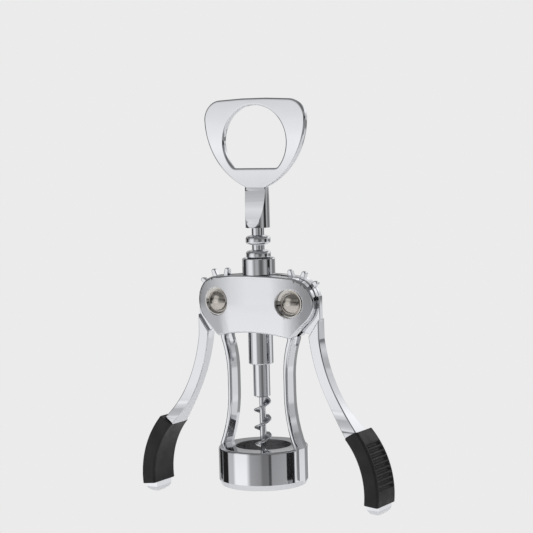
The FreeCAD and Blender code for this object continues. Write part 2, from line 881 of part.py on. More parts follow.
def gear_shape():
    """Gear sector of the right lever: a disc with teeth that mesh with the rack."""
    pitch_radius = sheet.gear_teeth * sheet.ring_pitch / (2 * math.pi)
    pressure = math.radians(sheet.gear_pressure_angle)
    base = pitch_radius * math.cos(pressure)
    line_gap = sheet.pivot_half_distance - pitch_radius - sheet.rack_radius
    ring_at_line = sheet.rack_tip_width - 2 * line_gap * math.tan(pressure)
    tooth_at_line = sheet.ring_pitch - ring_at_line - sheet.gear_backlash
    thickness = Vector(0, 2 * sheet.blade_half, 0)
    centre = Vector(sheet.pivot_half_distance, -sheet.blade_half, sheet.pivot_z)
    root = sheet.gear_root_radius
    tip = sheet.gear_tip_radius
    radii = (root, (root + tip) / 2, tip)

    def half_angle(radius):
        at_line = tooth_at_line / (2 * pitch_radius)
        return at_line + involute(pitch_radius, base) - involute(radius, base)

    def spot(radius, angle):
        return centre + Vector(-radius * math.cos(angle), 0, radius * math.sin(angle))

    gap_above = sheet.top_ring_z + sheet.ring_pitch / 2 - sheet.pivot_z
    solid = Part.makeCylinder(root, thickness.y, centre, Vector(0, 1, 0))
    for number in range(int(sheet.gear_teeth_cut)):
        middle = (gap_above - number * sheet.ring_pitch) / pitch_radius
        lower = [spot(radius, middle - half_angle(radius)) for radius in radii]
        upper = [spot(radius, middle + half_angle(radius)) for radius in radii]
        foot = spot(root - BURIED, middle)
        wire = Part.Wire([
            Part.makeLine(foot, lower[0]),
            Part.Arc(lower[0], lower[1], lower[2]).toShape(),
            Part.Arc(lower[2], spot(tip, middle), upper[2]).toShape(),
            Part.Arc(upper[2], upper[1], upper[0]).toShape(),
            Part.makeLine(upper[0], foot),
        ])
        tooth = Part.Face(wire).extrude(thickness)
        rims = []
        for edge in tooth.Edges:
            across = edge.Vertexes[-1].Point - edge.Vertexes[0].Point
            outward = edge.Vertexes[0].Point - centre
            if abs(across.y) > sheet.blade_half and outward.x ** 2 + outward.z ** 2 > radii[1] ** 2:
                rims.append(edge)
        solid = solid.fuse(tooth.makeFillet(sheet.gear_tip_round, rims))
    return solid.removeSplitter()


gear = doc.addObject("Part::Feature", "right_gear")
gear.Shape = gear_shape()

# The blade's tongue leaves the gear outwards and ends inside the thicker arm.
root_z = size("arm_inner_top") - size("tongue_root_depth")
tongue = slab(
    "right_tongue",
    [
        (size("pivot_half_distance"), size("tongue_top")),
        (size("pivot_half_distance"), size("tongue_low")),
        (size("arm_inner"), size("arm_inner_top")),
        (size("arm_inner") + size("tongue_root"), root_z),
        (size("arm_outer") - size("tongue_root"), root_z),
        (size("arm_outer"), size("arm_top")),
        (size("arm_outer"), size("tongue_top")),
    ],
    size("blade_half"),
)


def grip_point(radius, angle):
    """A point of the grip's curve as two sizes: bend centre plus radius at angle."""
    turn = math.radians(angle)
    return (
        size("grip_centre_x") + as_size(radius) * math.cos(turn),
        size("grip_centre_z") + as_size(radius) * math.sin(turn),
    )


grip_inner = size("grip_bend") - size("grip_half")
grip_outer = size("grip_bend") + size("grip_half")
top_inner = grip_point(grip_inner, sheet.grip_top_inner_angle)
top_outer = grip_point(grip_outer, sheet.grip_top_outer_angle)
foot_angle = -sheet.grip_foot_angle
flare_x = top_outer[0] - size("arm_flare_in")
flare_z = top_outer[1] + size("arm_flare_up")
deepen_z = top_inner[1] + size("arm_deepen_up")

arm_slab = slab(
    "right_arm_slab",
    [
        (size("arm_outer"), size("arm_top")),
        (size("arm_inner"), size("arm_inner_top"), size("arm_inner_bend")),
        top_inner,
        top_outer,
        (flare_x, flare_z, -size("arm_outer_bend")),
        (size("arm_outer"), size("arm_bend_top")),
    ],
    size("arm_foot_half_depth") + OVERSHOOT,
)
above_arm = size("arm_top") + OVERSHOOT
below_arm = top_inner[1] - OVERSHOOT
grip_reach = size("grip_centre_x") + grip_outer + OVERSHOOT
arm_side = slab(
    "right_arm_side",
    [
        (-size("arm_half_depth"), above_arm),
        (-size("arm_half_depth"), deepen_z, size("arm_deepen_bend")),
        (-size("arm_foot_half_depth"), top_inner[1]),
        (-size("arm_foot_half_depth"), below_arm),
        (size("arm_foot_half_depth"), below_arm),
        (size("arm_foot_half_depth"), top_inner[1], size("arm_deepen_bend")),
        (size("arm_half_depth"), deepen_z),
        (size("arm_half_depth"), above_arm),
    ],
    grip_reach,
    SIDE_PLANE,
)
arm = joined("MultiCommon", "right_arm_blank", [arm_slab, arm_side])


def arm_long_edge(edge):
    """True for the edges that run down the arm's front and rear faces."""
    ends = [vertex.Point for vertex in edge.Vertexes]
    one_face = ends[0].y * ends[-1].y > 0
    lowest = min(end.z for end in ends)
    return one_face and lowest < sheet.arm_inner_top - 1e-6


arm_soft = rounded("right_arm_soft", arm, size("arm_edge_round"), arm_long_edge)


def band(half, top_angle, bottom_angle):
    """Corners of a curved strip about the grip's bend centre."""
    inner = size("grip_bend") - half
    outer = size("grip_bend") + half
    return [
        grip_point(inner, bottom_angle),
        grip_point(outer, bottom_angle) + (outer,),
        grip_point(outer, top_angle),
        grip_point(inner, top_angle) + (-inner,),
    ]


past_grip = sheet.grip_top_inner_angle + math.degrees(BURIED / sheet.grip_bend)
tang = slab("right_tang", band(size("tang_half"), past_grip, foot_angle), size("tang_half_depth"))
lever_blank = joined("MultiFuse", "right_lever_blank", [gear, tongue, arm_soft, tang])
pin_hole = crosswise("right_pin_hole", spacer_bore, -size("slot_half"), size("slot_half"))

cap_middle = grip_point(size("grip_bend"), foot_angle)
stem_top = cap_middle[1] + size("cap_stem")
stem_hole = cylinder(
    "right_stem_hole",
    size("cap_stem_radius") + size("press_fit"),
    cap_middle[1] - OVERSHOOT,
    stem_top + size("running_fit"),
    x=cap_middle[0],
)
right_lever = cut("right_lever", lever_blank, [pin_hole, stem_hole])
left_lever = mirrored("left_lever", right_lever)

# ---------------------------------------------------------------- grips

grip_slab = slab(
    "right_grip_slab",
    [
        grip_point(grip_inner, foot_angle),
        grip_point(grip_outer, foot_angle) + (grip_outer,),
        top_outer,
        top_inner + (-grip_inner,),
    ],
    size("grip_half_depth") + OVERSHOOT,
)
below_grip = cap_middle[1] - BURIED
above_grip = top_outer[1] + BURIED
grip_side = slab(
    "right_grip_side",
    [
        (-size("grip_half_depth"), below_grip),
        (size("grip_half_depth"), below_grip, size("grip_side_bend")),
        (size("grip_top_half_depth"), above_grip),
        (-size("grip_top_half_depth"), above_grip, size("grip_side_bend")),
    ],
    grip_reach,
    SIDE_PLANE,
)
grip_blank = joined("MultiCommon", "right_grip_blank", [grip_slab, grip_side])


def grip_long_edge(edge):
    """True for the four long edges of the grip."""
    return edge.Length > 2 * sheet.grip_half_depth + BURIED


grip_soft = rounded("right_grip_soft", grip_blank, size("grip_edge_round"), grip_long_edge)
channel_overrun = math.degrees(OVERSHOOT / sheet.grip_bend)
channel_top = sheet.grip_top_inner_angle + channel_overrun
channel = slab(
    "right_grip_channel",
    band(size("tang_half") + size("press_fit"), channel_top, foot_angle - channel_overrun),
    size("tang_half_depth") + size("press_fit"),
)

# Each groove is a box laid radially: its near lower corner sits at the groove's bottom.
grooves = [channel]
groove_bottom = grip_outer - size("rib_depth")
half_groove = size("rib_groove") * 0.5
for number in range(int(sheet.rib_count)):
    angle = sheet.rib_first_angle + number * sheet.rib_step
    bottom_x, bottom_z = grip_point(groove_bottom, angle)
    across_x = half_groove * math.sin(math.radians(angle))
    across_z = half_groove * math.cos(math.radians(angle))
    groove = doc.addObject("Part::Box", "right_rib_groove_%d" % (number + 1))
    groove.Placement = Placement(Vector(0, 0, 0), Rotation(Vector(0, -1, 0), angle))
    bind(groove, Length=size("rib_depth") + OVERSHOOT)
    bind(groove, Width=size("rib_half_length") * 2.0, Height=size("rib_groove"))
    bind(groove, Placement__Base__x=bottom_x + across_x)
    bind(groove, Placement__Base__y=-size("rib_half_length"))
    bind(groove, Placement__Base__z=bottom_z - across_z)
    grooves.append(groove)
right_grip = cut("right_grip", grip_soft, grooves)
left_grip = mirrored("left_grip", right_grip)

# ---------------------------------------------------------------- end caps

cap_low = cap_middle[1] - size("cap_height")
cap_shoulder = cap_middle[1] - size("cap_shoulder_drop")
cap_blank_top = cap_middle[1] + BURIED
cap_front = slab(
    "right_cap_front",
    [
        (cap_middle[0] - size("cap_half"), cap_shoulder, size("cap_end_bend")),
        (cap_middle[0], cap_low, size("cap_end_bend")),
        (cap_middle[0] + size("cap_half"), cap_shoulder),
        (cap_middle[0] + size("cap_half"), cap_blank_top),
        (cap_middle[0] - size("cap_half"), cap_blank_top),
    ],
    size("cap_half_depth") + OVERSHOOT,
)
cap_side = slab(
    "right_cap_side",
    [
        (-size("cap_half_depth"), cap_shoulder, size("cap_side_bend")),
        (0.0, cap_low, size("cap_side_bend")),
        (size("cap_half_depth"), cap_shoulder),
        (size("cap_half_depth"), cap_blank_top),
        (-size("cap_half_depth"), cap_blank_top),
    ],
    grip_reach,
    SIDE_PLANE,
)
cap_blank = joined("MultiCommon", "right_cap_blank", [cap_front, cap_side])
trim = band(size("grip_half") + OVERSHOOT, 0.0, foot_angle)
grip_foot = slab("right_cap_trim", trim, size("cap_half_depth") + OVERSHOOT)
cap_body = cut("right_cap_body", cap_blank, [grip_foot])
stem_foot = cap_middle[1] - size("cap_stem_radius")
cap_stem = cylinder("right_cap_stem", size("cap_stem_radius"), stem_foot, stem_top, x=cap_middle[0])
right_end_cap = joined("MultiFuse", "right_end_cap", [cap_body, cap_stem])
left_end_cap = mirrored("left_end_cap", right_end_cap)

# ---------------------------------------------------------------- checks and export

PARTS = [
    "body_casting",
    "bottle_ring",
    "neck_sleeve",
    "pivot_cup_washers",
    "left_pivot_bolt",
    "right_pivot_bolt",
    "left_pivot_cap",
    "right_pivot_cap",
    "pivot_spacers",
    "rack_sleeve",
    "thrust_washer",
    "spindle_rod",
    "worm_ferrule",
    "worm",
    "bottle_opener",
    "left_lever",
    "right_lever",
    "left_grip",
    "right_grip",
    "left_end_cap",
    "right_end_cap",
]

doc.recompute()
for thing in doc.Objects:
    if "Invalid" in thing.State or "Error" in thing.State:
        raise RuntimeError("%s did not compute" % thing.Name)

os.makedirs("parts", exist_ok=True)
for name in PARTS:
    thing = doc.getObject(name)
    thing.Label = name
    shape = thing.Shape
    if shape.isNull() or not shape.isValid():
        raise RuntimeError("%s has no valid shape" % name)
    wanted = 4 if name in ("pivot_cup_washers", "pivot_spacers") else 1
    if len(shape.Solids) != wanted:
        raise RuntimeError("%s has %d solids" % (name, len(shape.Solids)))
    shape.exportStep("parts/%s.step" % name)
    print("%-20s %9.1f mm3" % (name, shape.Volume))
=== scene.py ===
# %% [markdown]
# # Wing corkscrew: the look of the real thing
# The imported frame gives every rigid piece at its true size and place, in metres, with Z up and
# the front towards -Y. This lesson dresses that frame: first the room and the finishes, then the
# pieces that deserve a finer surface than the frame's own.

# %% Load the frame
import math
import bmesh
import bpy
from mathutils import Matrix, Vector


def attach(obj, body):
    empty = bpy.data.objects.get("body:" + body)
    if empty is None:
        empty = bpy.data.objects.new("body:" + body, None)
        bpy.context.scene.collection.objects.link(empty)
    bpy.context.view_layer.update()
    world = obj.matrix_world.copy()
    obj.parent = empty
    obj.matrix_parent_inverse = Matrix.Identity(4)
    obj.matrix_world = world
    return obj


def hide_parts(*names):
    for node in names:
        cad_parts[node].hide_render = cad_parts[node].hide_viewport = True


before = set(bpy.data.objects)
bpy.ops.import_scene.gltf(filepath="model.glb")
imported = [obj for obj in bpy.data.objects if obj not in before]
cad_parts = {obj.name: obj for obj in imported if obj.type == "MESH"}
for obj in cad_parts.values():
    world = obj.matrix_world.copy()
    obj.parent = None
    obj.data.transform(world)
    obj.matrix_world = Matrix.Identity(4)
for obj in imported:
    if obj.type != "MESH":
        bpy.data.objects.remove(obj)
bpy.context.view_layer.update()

MM = 0.001
SCENE = bpy.context.scene
print("pieces in the frame:", len(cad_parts))

# %% [markdown]
# ## The camera
# A product portrait is taken with a long lens from well back, so that the legs stay parallel. The
# camera stands 32 degrees to the right of the front, a little above the object's middle, and is
# turned a touch about its own line of sight. Its place and turn are written as one matrix, which
# keeps the three small angles apart and easy to change.

# %% Camera
CAMERA_AZIMUTH, CAMERA_DISTANCE, CAMERA_HEIGHT = math.radians(32), 748.5 * MM, 160.9 * MM
CAMERA_PITCH, CAMERA_YAW, CAMERA_ROLL = (math.radians(a) for a in (4.91, -0.26, -1.49))
SENSOR_WIDTH, FOCAL_LENGTH = 36, 114.82
lens = bpy.data.cameras.new("portrait_lens")
lens.sensor_width = SENSOR_WIDTH
lens.lens = FOCAL_LENGTH
camera = bpy.data.objects.new("portrait_camera", lens)
SCENE.collection.objects.link(camera)
stand = Vector((CAMERA_DISTANCE * math.sin(CAMERA_AZIMUTH),
                -CAMERA_DISTANCE * math.cos(CAMERA_AZIMUTH), CAMERA_HEIGHT))
turn = (Matrix.Rotation(CAMERA_AZIMUTH + CAMERA_YAW, 4, "Z")
        @ Matrix.Rotation(math.radians(90) - CAMERA_PITCH, 4, "X")
        @ Matrix.Rotation(CAMERA_ROLL, 4, "Z"))
camera.matrix_world = Matrix.Translation(stand) @ turn
SCENE.camera = camera
SCENE.view_settings.view_transform = "Standard"
print("camera at", [round(c, 4) for c in stand], "with a lens of", FOCAL_LENGTH, "mm")

# %% [markdown]
# ## Colours and nodes
# Colours are written as a paint chart gives them, in sRGB, and Blender's shaders want linear
# light, so one function turns one into the other. One more function adds a shader node with its
# settings and its links, and every material is written with it.

# %% Colour helper
def linear(hex_colour):
    """An sRGB hex colour as the linear red, green, blue and alpha that shaders take."""
    values = [int(hex_colour[i:i + 2], 16) / 255 for i in (1, 3, 5)]
    return [v / 12.92 if v <= 0.04045 else ((v + 0.055) / 1.055) ** 2.4 for v in values] + [1]


print("mid grey #808080 is", round(linear("#808080")[0], 3), "in linear light")

# %% Node helpers
def add(tree, kind, settings=None, **inputs):
    """Adds a node. An input is given by its name, or by its number after an underscore, and takes
    either a value or the output that feeds it."""
    made = tree.nodes.new(kind)
    for name, value in (settings or {}).items():
        setattr(made, name, value)
    for name, value in inputs.items():
        socket = made.inputs[int(name[1:]) if name[1:].isdigit() else name.replace("_", " ")]
        if isinstance(value, bpy.types.NodeSocket):
            tree.links.new(value, socket)
        else:
            socket.default_value = value
    return made


def new_tree(owner):
    """An empty node tree for a material or the world."""
    owner.use_nodes = True
    owner.node_tree.nodes.clear()
    return owner.node_tree


# %% [markdown]
# ## The room
# Polished metal has no look of its own: it shows the room. The room here is a pale cyclorama with
# tall cards round the object, as a studio sets them: a bright softbox in front, a middle grey
# card at the side, and black flags that draw the dark edges of each round form. Separate cards
# would do as well, but one round wall with a glow painted on it by compass angle and height is
# easier to tune. Reflections alone see it, so it throws no light and hides nothing.

# %% Rays that show the background
def background_rays(tree):
    """1 for rays from the camera, off metal or through glass, 0 for those that carry light."""
    rays = add(tree, "ShaderNodeLightPath")
    shown = rays.outputs["Is Camera Ray"]
    for name in ("Is Glossy Ray", "Is Transmission Ray"):
        shown = add(tree, "ShaderNodeMath", {"operation": "MAXIMUM"}, _0=shown,
                    _1=rays.outputs[name]).outputs[0]
    return shown


# %% World
PALE, ROOM_LIGHT = "#EBEBEB", 0.55
world = bpy.data.worlds.new("pale_room")
SCENE.world = world
tree = new_tree(world)
strength = add(tree, "ShaderNodeMapRange", None, Value=background_rays(tree), To_Min=ROOM_LIGHT,
               To_Max=1.0)
glow = add(tree, "ShaderNodeBackground", None, Color=linear(PALE), Strength=strength.outputs[0])
add(tree, "ShaderNodeOutputWorld", None, Surface=glow.outputs[0])
print("the room is", PALE, "and lights the object at", ROOM_LIGHT)

# %% Floor
FLOOR_LEVEL, FLOOR_REACH, PAPER_GREY = -300 * MM, 30.0, "#E4E4E4"
# from the first to the second of these distances the paper melts into the room
PAPER_NEAR, PAPER_FAR = 0.45, 1.1
mesh = bmesh.new()
bmesh.ops.create_grid(mesh, x_segments=1, y_segments=1, size=FLOOR_REACH)
bmesh.ops.translate(mesh, verts=mesh.verts, vec=(0, 0, FLOOR_LEVEL))
data = bpy.data.meshes.new("floor")
mesh.to_mesh(data)
mesh.free()
floor = bpy.data.objects.new("floor", data)
SCENE.collection.objects.link(floor)
paper = bpy.data.materials.new("matt_paper_sweep")
tree = new_tree(paper)
# matt paper: it takes the shadow near the object and melts into the pale room further out
where = add(tree, "ShaderNodeTexCoord")
far = add(tree, "ShaderNodeVectorMath", {"operation": "LENGTH"}, _0=where.outputs["Object"])
fade = add(tree, "ShaderNodeMapRange", {"interpolation_type": "SMOOTHSTEP"},
           Value=far.outputs["Value"], From_Min=PAPER_NEAR, From_Max=PAPER_FAR)
share = add(tree, "ShaderNodeMath", {"operation": "MULTIPLY"},
            _0=fade.outputs[0], _1=background_rays(tree))
matt = add(tree, "ShaderNodeBsdfDiffuse", None, Color=linear(PAPER_GREY))
glow = add(tree, "ShaderNodeEmission", None, Color=linear(PALE), Strength=1.0)
both = add(tree, "ShaderNodeMixShader", None, _0=share.outputs[0], _1=matt.outputs[0],
           _2=glow.outputs[0])
add(tree, "ShaderNodeOutputMaterial", None, Surface=both.outputs[0])
data.materials.append(paper)
print("floor of", paper.name, "at", FLOOR_LEVEL, "m")

# %% The cards, level by level
# each pair: a compass angle in degrees (0 is the front, 90 the right side) and the card's glow
CARDS = ((-90, 0.02), (-73, 0.02), (-70, 0.66), (-53, 0.66), (-46, 1.2), (-14, 1.2), (-3, 0.46),
         (22, 0.36), (28, 0.23), (43, 0.23), (45, 0.09), (49, 0.09), (52, 0.4), (94, 0.47),
         (97, 0.02), (115, 0.02), (118, 0.98), (150, 0.98), (157, 0.37), (186, 0.37),
         (190, 1.1), (208, 1.1), (212, 0.39), (262, 0.39), (265, 0.02), (270, 0.02))
# the head and the barrel look at darker sides, which draw their round edges in black
HEAD_CARDS = ((-90, 0.04), (-73, 0.04), (-64, 0.5), (-54, 0.8), (-44, 1.1), (-34, 1.25),
              (-20, 1.25), (-10, 0.82), (-3, 0.5), (3, 0.4), (10, 0.62), (25, 0.6), (31, 0.4),
              (40, 0.18),
              (54, 0.18), (62, 0.35), (74, 0.62), (86, 0.55), (92, 0.2), (98, 0.03), (113, 0.03),
              (119, 0.7), (132, 0.7), (137, 0.3), (160, 0.3), (166, 0.4), (180, 0.4),
              (190, 0.9), (206, 0.9), (212, 0.5), (256, 0.6), (264, 0.04))
# level with the opener the front corners give way to flags
HIGH_CARDS = ((-90, 0.03), (-53, 0.03), (-46, 1.3), (-14, 1.3), (-6, 0.3), (10, 0.03),
              (112, 0.03), (120, 0.9), (184, 0.9), (190, 0.5), (222, 0.5), (228, 0.6),
              (244, 0.6), (250, 0.03), (270, 0.03))
# high up the sides are pale again, for the outward faces of the arms
TOP_CARDS = ((-90, 0.3), (-53, 0.3), (-46, 1.0), (-14, 1.0), (0, 0.3), (120, 0.5), (140, 1.3),
             (200, 1.3), (215, 0.7), (270, 0.3))
# each shelf of cards begins at its height in metres and takes over within this much
SHELVES = ((-0.075, HEAD_CARDS), (0.07, HIGH_CARDS), (0.24, TOP_CARDS))
TAKE_OVER = 0.03
# how the glow falls and rises with height in metres; flat faces show it as a soft gradient
LEVELS = ((-0.30, 1.0), (-0.24, 1.0), (-0.21, 0.92), (-0.10, 0.9), (-0.06, 0.86), (-0.02, 0.84),
          (0.03, 0.84), (0.06, 0.84), (0.085, 0.74), (0.10, 0.78), (0.132, 0.94), (0.187, 0.68),
          (0.30, 0.60), (0.42, 0.70), (0.56, 1.0), (0.70, 0.85), (0.85, 0.40), (1.0, 0.16))
BRIGHTEST = max(glow for _, glow in CARDS + HEAD_CARDS)
print("shelves of cards:", 1 + len(SHELVES), "brightest", BRIGHTEST)

# %% The wall that carries the cards
WALL_RADIUS, WALL_TOP = 1.2, 1.0
mesh = bmesh.new()
# the wall and its ceiling are one bent line, spun about the upright axis
tip = mesh.verts.new((0, -WALL_RADIUS, FLOOR_LEVEL))
for corner in ((0, -WALL_RADIUS, WALL_TOP), (0, 0, WALL_TOP)):
    made = bmesh.ops.extrude_vert_indiv(mesh, verts=[tip])["verts"]
    bmesh.ops.translate(mesh, verts=made, vec=Vector(corner) - tip.co)
    tip = made[0]
bmesh.ops.spin(mesh, geom=mesh.verts[:] + mesh.edges[:], cent=(0, 0, 0), axis=(0, 0, 1),
               dvec=(0, 0, 0), angle=math.tau, steps=96, use_merge=True)
bmesh.ops.remove_doubles(mesh, verts=mesh.verts, dist=1e-5)
data = bpy.data.meshes.new("card_wall")
mesh.to_mesh(data)
mesh.free()
wall = bpy.data.objects.new("card_wall", data)
SCENE.collection.objects.link(wall)
for ray in ("camera", "diffuse", "shadow", "transmission", "volume_scatter"):
    setattr(wall, "visible_" + ray, False)
print("card wall", len(data.polygons), "faces")

# %% The glow of the cards
FLAG_START, FLAG_REACH, MIDDLE_GLOW, CEILING_GLOW = 0.05, 0.5, 0.3, 0.16
glowing = bpy.data.materials.new("studio_cards")
tree = new_tree(glowing)
where = add(tree, "ShaderNodeTexCoord")
compass = add(tree, "ShaderNodeTexGradient", {"gradient_type": "RADIAL"},
              Vector=where.outputs["Object"])


def ramp_of(source, pairs, first, last, brightest=1):
    """A ramp through (place, glow) pairs. The places first and last become 0 and 1."""
    made = add(tree, "ShaderNodeValToRGB", None, Fac=source)
    stops = made.color_ramp.elements
    for n, (place, glow) in enumerate(pairs):
        stop = stops[n] if n < 2 else stops.new(1)
        stop.position = (place - first) / (last - first)
        stop.color = [glow / brightest] * 3 + [1]
    return made.outputs["Color"]


# the gradient runs once round, from the left side by the front and the right to the left again
COMPASS = (-90, 270)
height = add(tree, "ShaderNodeSeparateXYZ", None, Vector=where.outputs["Object"])
rise = add(tree, "ShaderNodeMapRange", None, Value=height.outputs["Z"], From_Min=FLOOR_LEVEL,
           From_Max=WALL_TOP)
cards = ramp_of(compass.outputs["Fac"], CARDS, *COMPASS, BRIGHTEST)
for start, shelf in SHELVES:
    above = add(tree, "ShaderNodeMapRange", {"interpolation_type": "SMOOTHSTEP"},
                Value=height.outputs["Z"], From_Min=start, From_Max=start + TAKE_OVER)
    cards = add(tree, "ShaderNodeMix", {"data_type": "RGBA"}, _0=above.outputs[0], _6=cards,
                _7=ramp_of(compass.outputs["Fac"], shelf, *COMPASS, BRIGHTEST)).outputs[2]
cards = add(tree, "ShaderNodeMix", {"data_type": "RGBA", "blend_type": "MULTIPLY"}, _0=1.0,
            _6=cards, _7=ramp_of(rise.outputs[0], LEVELS, FLOOR_LEVEL, WALL_TOP))
# the ceiling is a black flag with a dim glow in its middle, so that each upper edge gets a
# dark line
across = add(tree, "ShaderNodeVectorMath", {"operation": "MULTIPLY"},
             _0=where.outputs["Object"], _1=(1, 1, 0))
across = add(tree, "ShaderNodeVectorMath", {"operation": "LENGTH"}, _0=across.outputs[0])
overhead = add(tree, "ShaderNodeMapRange", {"interpolation_type": "SMOOTHSTEP"},
               Value=across.outputs["Value"], From_Min=FLAG_START, From_Max=FLAG_REACH,
               To_Min=MIDDLE_GLOW, To_Max=CEILING_GLOW)
inside = add(tree, "ShaderNodeMath", {"operation": "LESS_THAN"},
             _0=across.outputs["Value"], _1=WALL_RADIUS - 5 * MM)
cards = add(tree, "ShaderNodeMix", {"data_type": "RGBA"}, _0=inside.outputs[0],
            _6=cards.outputs[2], _7=overhead.outputs[0])
light = add(tree, "ShaderNodeEmission", None, Color=cards.outputs[2], Strength=BRIGHTEST)
add(tree, "ShaderNodeOutputMaterial", None, Surface=light.outputs[0])
data.materials.append(glowing)
print("glow of the cards:", len(tree.nodes), "nodes")

# %% Lamps
AIM = Vector((0, 0, 80 * MM))


def lamp(title, azimuth, elevation, distance, size, power):
    """A square softbox, its side and distance in metres, aimed at the object's middle."""
    light = bpy.data.lights.new(title, "AREA")
    light.size = size
    light.energy = power
    made = bpy.data.objects.new(title, light)
    SCENE.collection.objects.link(made)
    a, e = math.radians(azimuth), math.radians(elevation)
    ray = Vector((math.sin(a) * math.cos(e), -math.cos(a) * math.cos(e), math.sin(e)))
    made.matrix_world = (Matrix.Translation(AIM + ray * distance)
                         @ ray.to_track_quat("Z", "Y").to_matrix().to_4x4())
    made.visible_camera = False
    made.visible_glossy = False
    print(title, "at", azimuth, "degrees,", power, "W")


lamp("key_lamp", -27, 35, 1.6, 0.9, 14)
lamp("fill_lamp", 85, 50, 1.8, 0.7, 16)
lamp("rear_lamp", 190, 40, 1.8, 0.9, 7)

# %% [markdown]
# ## Chrome and steel
# The castings are zinc, ground and buffed on soft wheels, then plated with bright nickel under a
# flash of chrome. That makes a clean mirror with a trace of blue. Buffing leaves a faint waviness
# some millimetres long, and handling leaves a smear that lifts the roughness in patches, so a
# reflection is sharp in one place and slightly veiled in the next. Steel parts that are only
# tumbled or drawn keep a warmer tone and a softer shine. All of them are one recipe with other
# numbers, so one function builds them.

# %% Metals
def metal(title, colour, low, high, wave_mm, wave_height, grain_mm, grain_height, stretch):
    """Roughness runs from low to high under a smear; waves and grain, in mm, lift the surface.
    The stretch squeezes the grain along x, y and z, which turns it into tool marks."""
    smear_mm = 9
    made = bpy.data.materials.new(title)
    tree = new_tree(made)
    where = add(tree, "ShaderNodeTexCoord")
    smear = add(tree, "ShaderNodeTexNoise", None, Vector=where.outputs["Object"],
                Scale=1 / (smear_mm * MM), Detail=4, Roughness=0.55)
    rough = add(tree, "ShaderNodeMapRange", None, Value=smear.outputs["Fac"],
                From_Min=0.35, From_Max=0.65, To_Min=low, To_Max=high)
    wave = add(tree, "ShaderNodeTexNoise", None, Vector=where.outputs["Object"],
               Scale=1 / (wave_mm * MM), Detail=0)
    soft = add(tree, "ShaderNodeBump", None, Strength=1.0, Distance=wave_height * MM,
               Height=wave.outputs["Fac"])
    drawn = add(tree, "ShaderNodeMapping", None, Vector=where.outputs["Object"], Scale=stretch)
    grain = add(tree, "ShaderNodeTexNoise", None, Vector=drawn.outputs["Vector"],
                Scale=1 / (grain_mm * MM), Detail=2)
    fine = add(tree, "ShaderNodeBump", None, Strength=1.0, Distance=grain_height * MM,
               Height=grain.outputs["Fac"], Normal=soft.outputs["Normal"])
    shader = add(tree, "ShaderNodeBsdfPrincipled", None, Base_Color=linear(colour),
                 Metallic=1.0, Roughness=rough.outputs[0], Normal=fine.outputs["Normal"])
    add(tree, "ShaderNodeOutputMaterial", None, Surface=shader.outputs[0])
    print(title, "roughness", low, "to", high)
    return made


# buffed and plated: long soft waves, hardly any grain
EVEN = (1, 1, 1)
chromed_zinc = metal("chromed_zinc_buffed", "#D9DADE", 0.03, 0.08, 7, 0.010, 0.5, 0.0003, EVEN)
# where no buffing wheel reaches, in bores and slots, the casting's skin stays rougher under a thin
# plating and scatters light; its darker grey is painted shade for the shade between its walls
rough_zinc_painted_shade = metal("zinc_rough_painted_shade", "#848486", 0.38, 0.55, 3, 0.01, 0.35, 0.002, EVEN)
# turned, then plated: fine rings run round the upright axis under the chrome
chromed_turned = metal("chromed_zinc_turned", "#D9DADE", 0.04, 0.09, 9, 0.004, 0.25, 0.0008,
                       (0.05, 0.05, 1))
# a wire ground to its edge and plated: short marks across the blade
chromed_steel = metal("chromed_steel_ground", "#D3D4D8", 0.05, 0.12, 4, 0.006, 0.3, 0.001,
                      (1, 1, 0.3))
# tumbled heads of the pins: a soft satin shine with a warm tone
tumbled_steel = metal("tumbled_steel", "#C4BFB8", 0.17, 0.24, 5, 0.006, 0.15, 0.001, EVEN)
# pressed from polished strip, with the strip's rolling lines
pressed_steel = metal("pressed_steel_polished", "#C9C6C2", 0.08, 0.16, 6, 0.006, 0.2, 0.0008,
                      (0.08, 1, 1))

# %% [markdown]
# ## The soft black and the nylon
# The grips are overmoulded with a rubbery black plastic. The mould is bead blasted, so the skin
# carries a grain of about a third of a millimetre that spreads every highlight into a satin
# sheen; where hands rub it, it is a little smoother, and lighter patches in its colour are a
# painted sheen. The ring in the collar is dark nylon with the faint flow marks of its moulding,
# and a thin clear coat gives it a slight gloss. Cells with soft borders look more like blasted
# grain than plain noise does, so they make the bumps.

# %% Plastics
def plastic(title, colour, marks_and_sheen, low, high, grain_mm, grain_height, patch_mm, shine, coat):
    """Colour and roughness drift in patches to the second colour and the low roughness; on the
    grips that lighter colour is a painted sheen, on the nylon its flow marks. A blasted grain
    lifts the skin. Sizes are in mm."""
    made = bpy.data.materials.new(title)
    tree = new_tree(made)
    where = add(tree, "ShaderNodeTexCoord")
    patch = add(tree, "ShaderNodeTexNoise", None, Vector=where.outputs["Object"],
                Scale=1 / (patch_mm * MM), Detail=3)
    shade = add(tree, "ShaderNodeMix", {"data_type": "RGBA"}, _0=patch.outputs["Fac"],
                _6=linear(colour), _7=linear(marks_and_sheen))
    rough = add(tree, "ShaderNodeMapRange", None, Value=patch.outputs["Fac"],
                From_Min=0.35, From_Max=0.65, To_Min=high, To_Max=low)
    grain = add(tree, "ShaderNodeTexVoronoi", {"feature": "SMOOTH_F1"},
                Vector=where.outputs["Object"], Scale=1 / (grain_mm * MM))
    blasted = add(tree, "ShaderNodeBump", None, Strength=1.0, Distance=grain_height * MM,
                  Height=grain.outputs["Distance"])
    shader = add(tree, "ShaderNodeBsdfPrincipled", None, Base_Color=shade.outputs[2],
                 Roughness=rough.outputs[0], Specular_IOR_Level=shine, Coat_Weight=coat,
                 Coat_Roughness=0.35, Normal=blasted.outputs["Normal"])
    add(tree, "ShaderNodeOutputMaterial", None, Surface=shader.outputs[0])
    print(title, "roughness", low, "to", high)
    return made


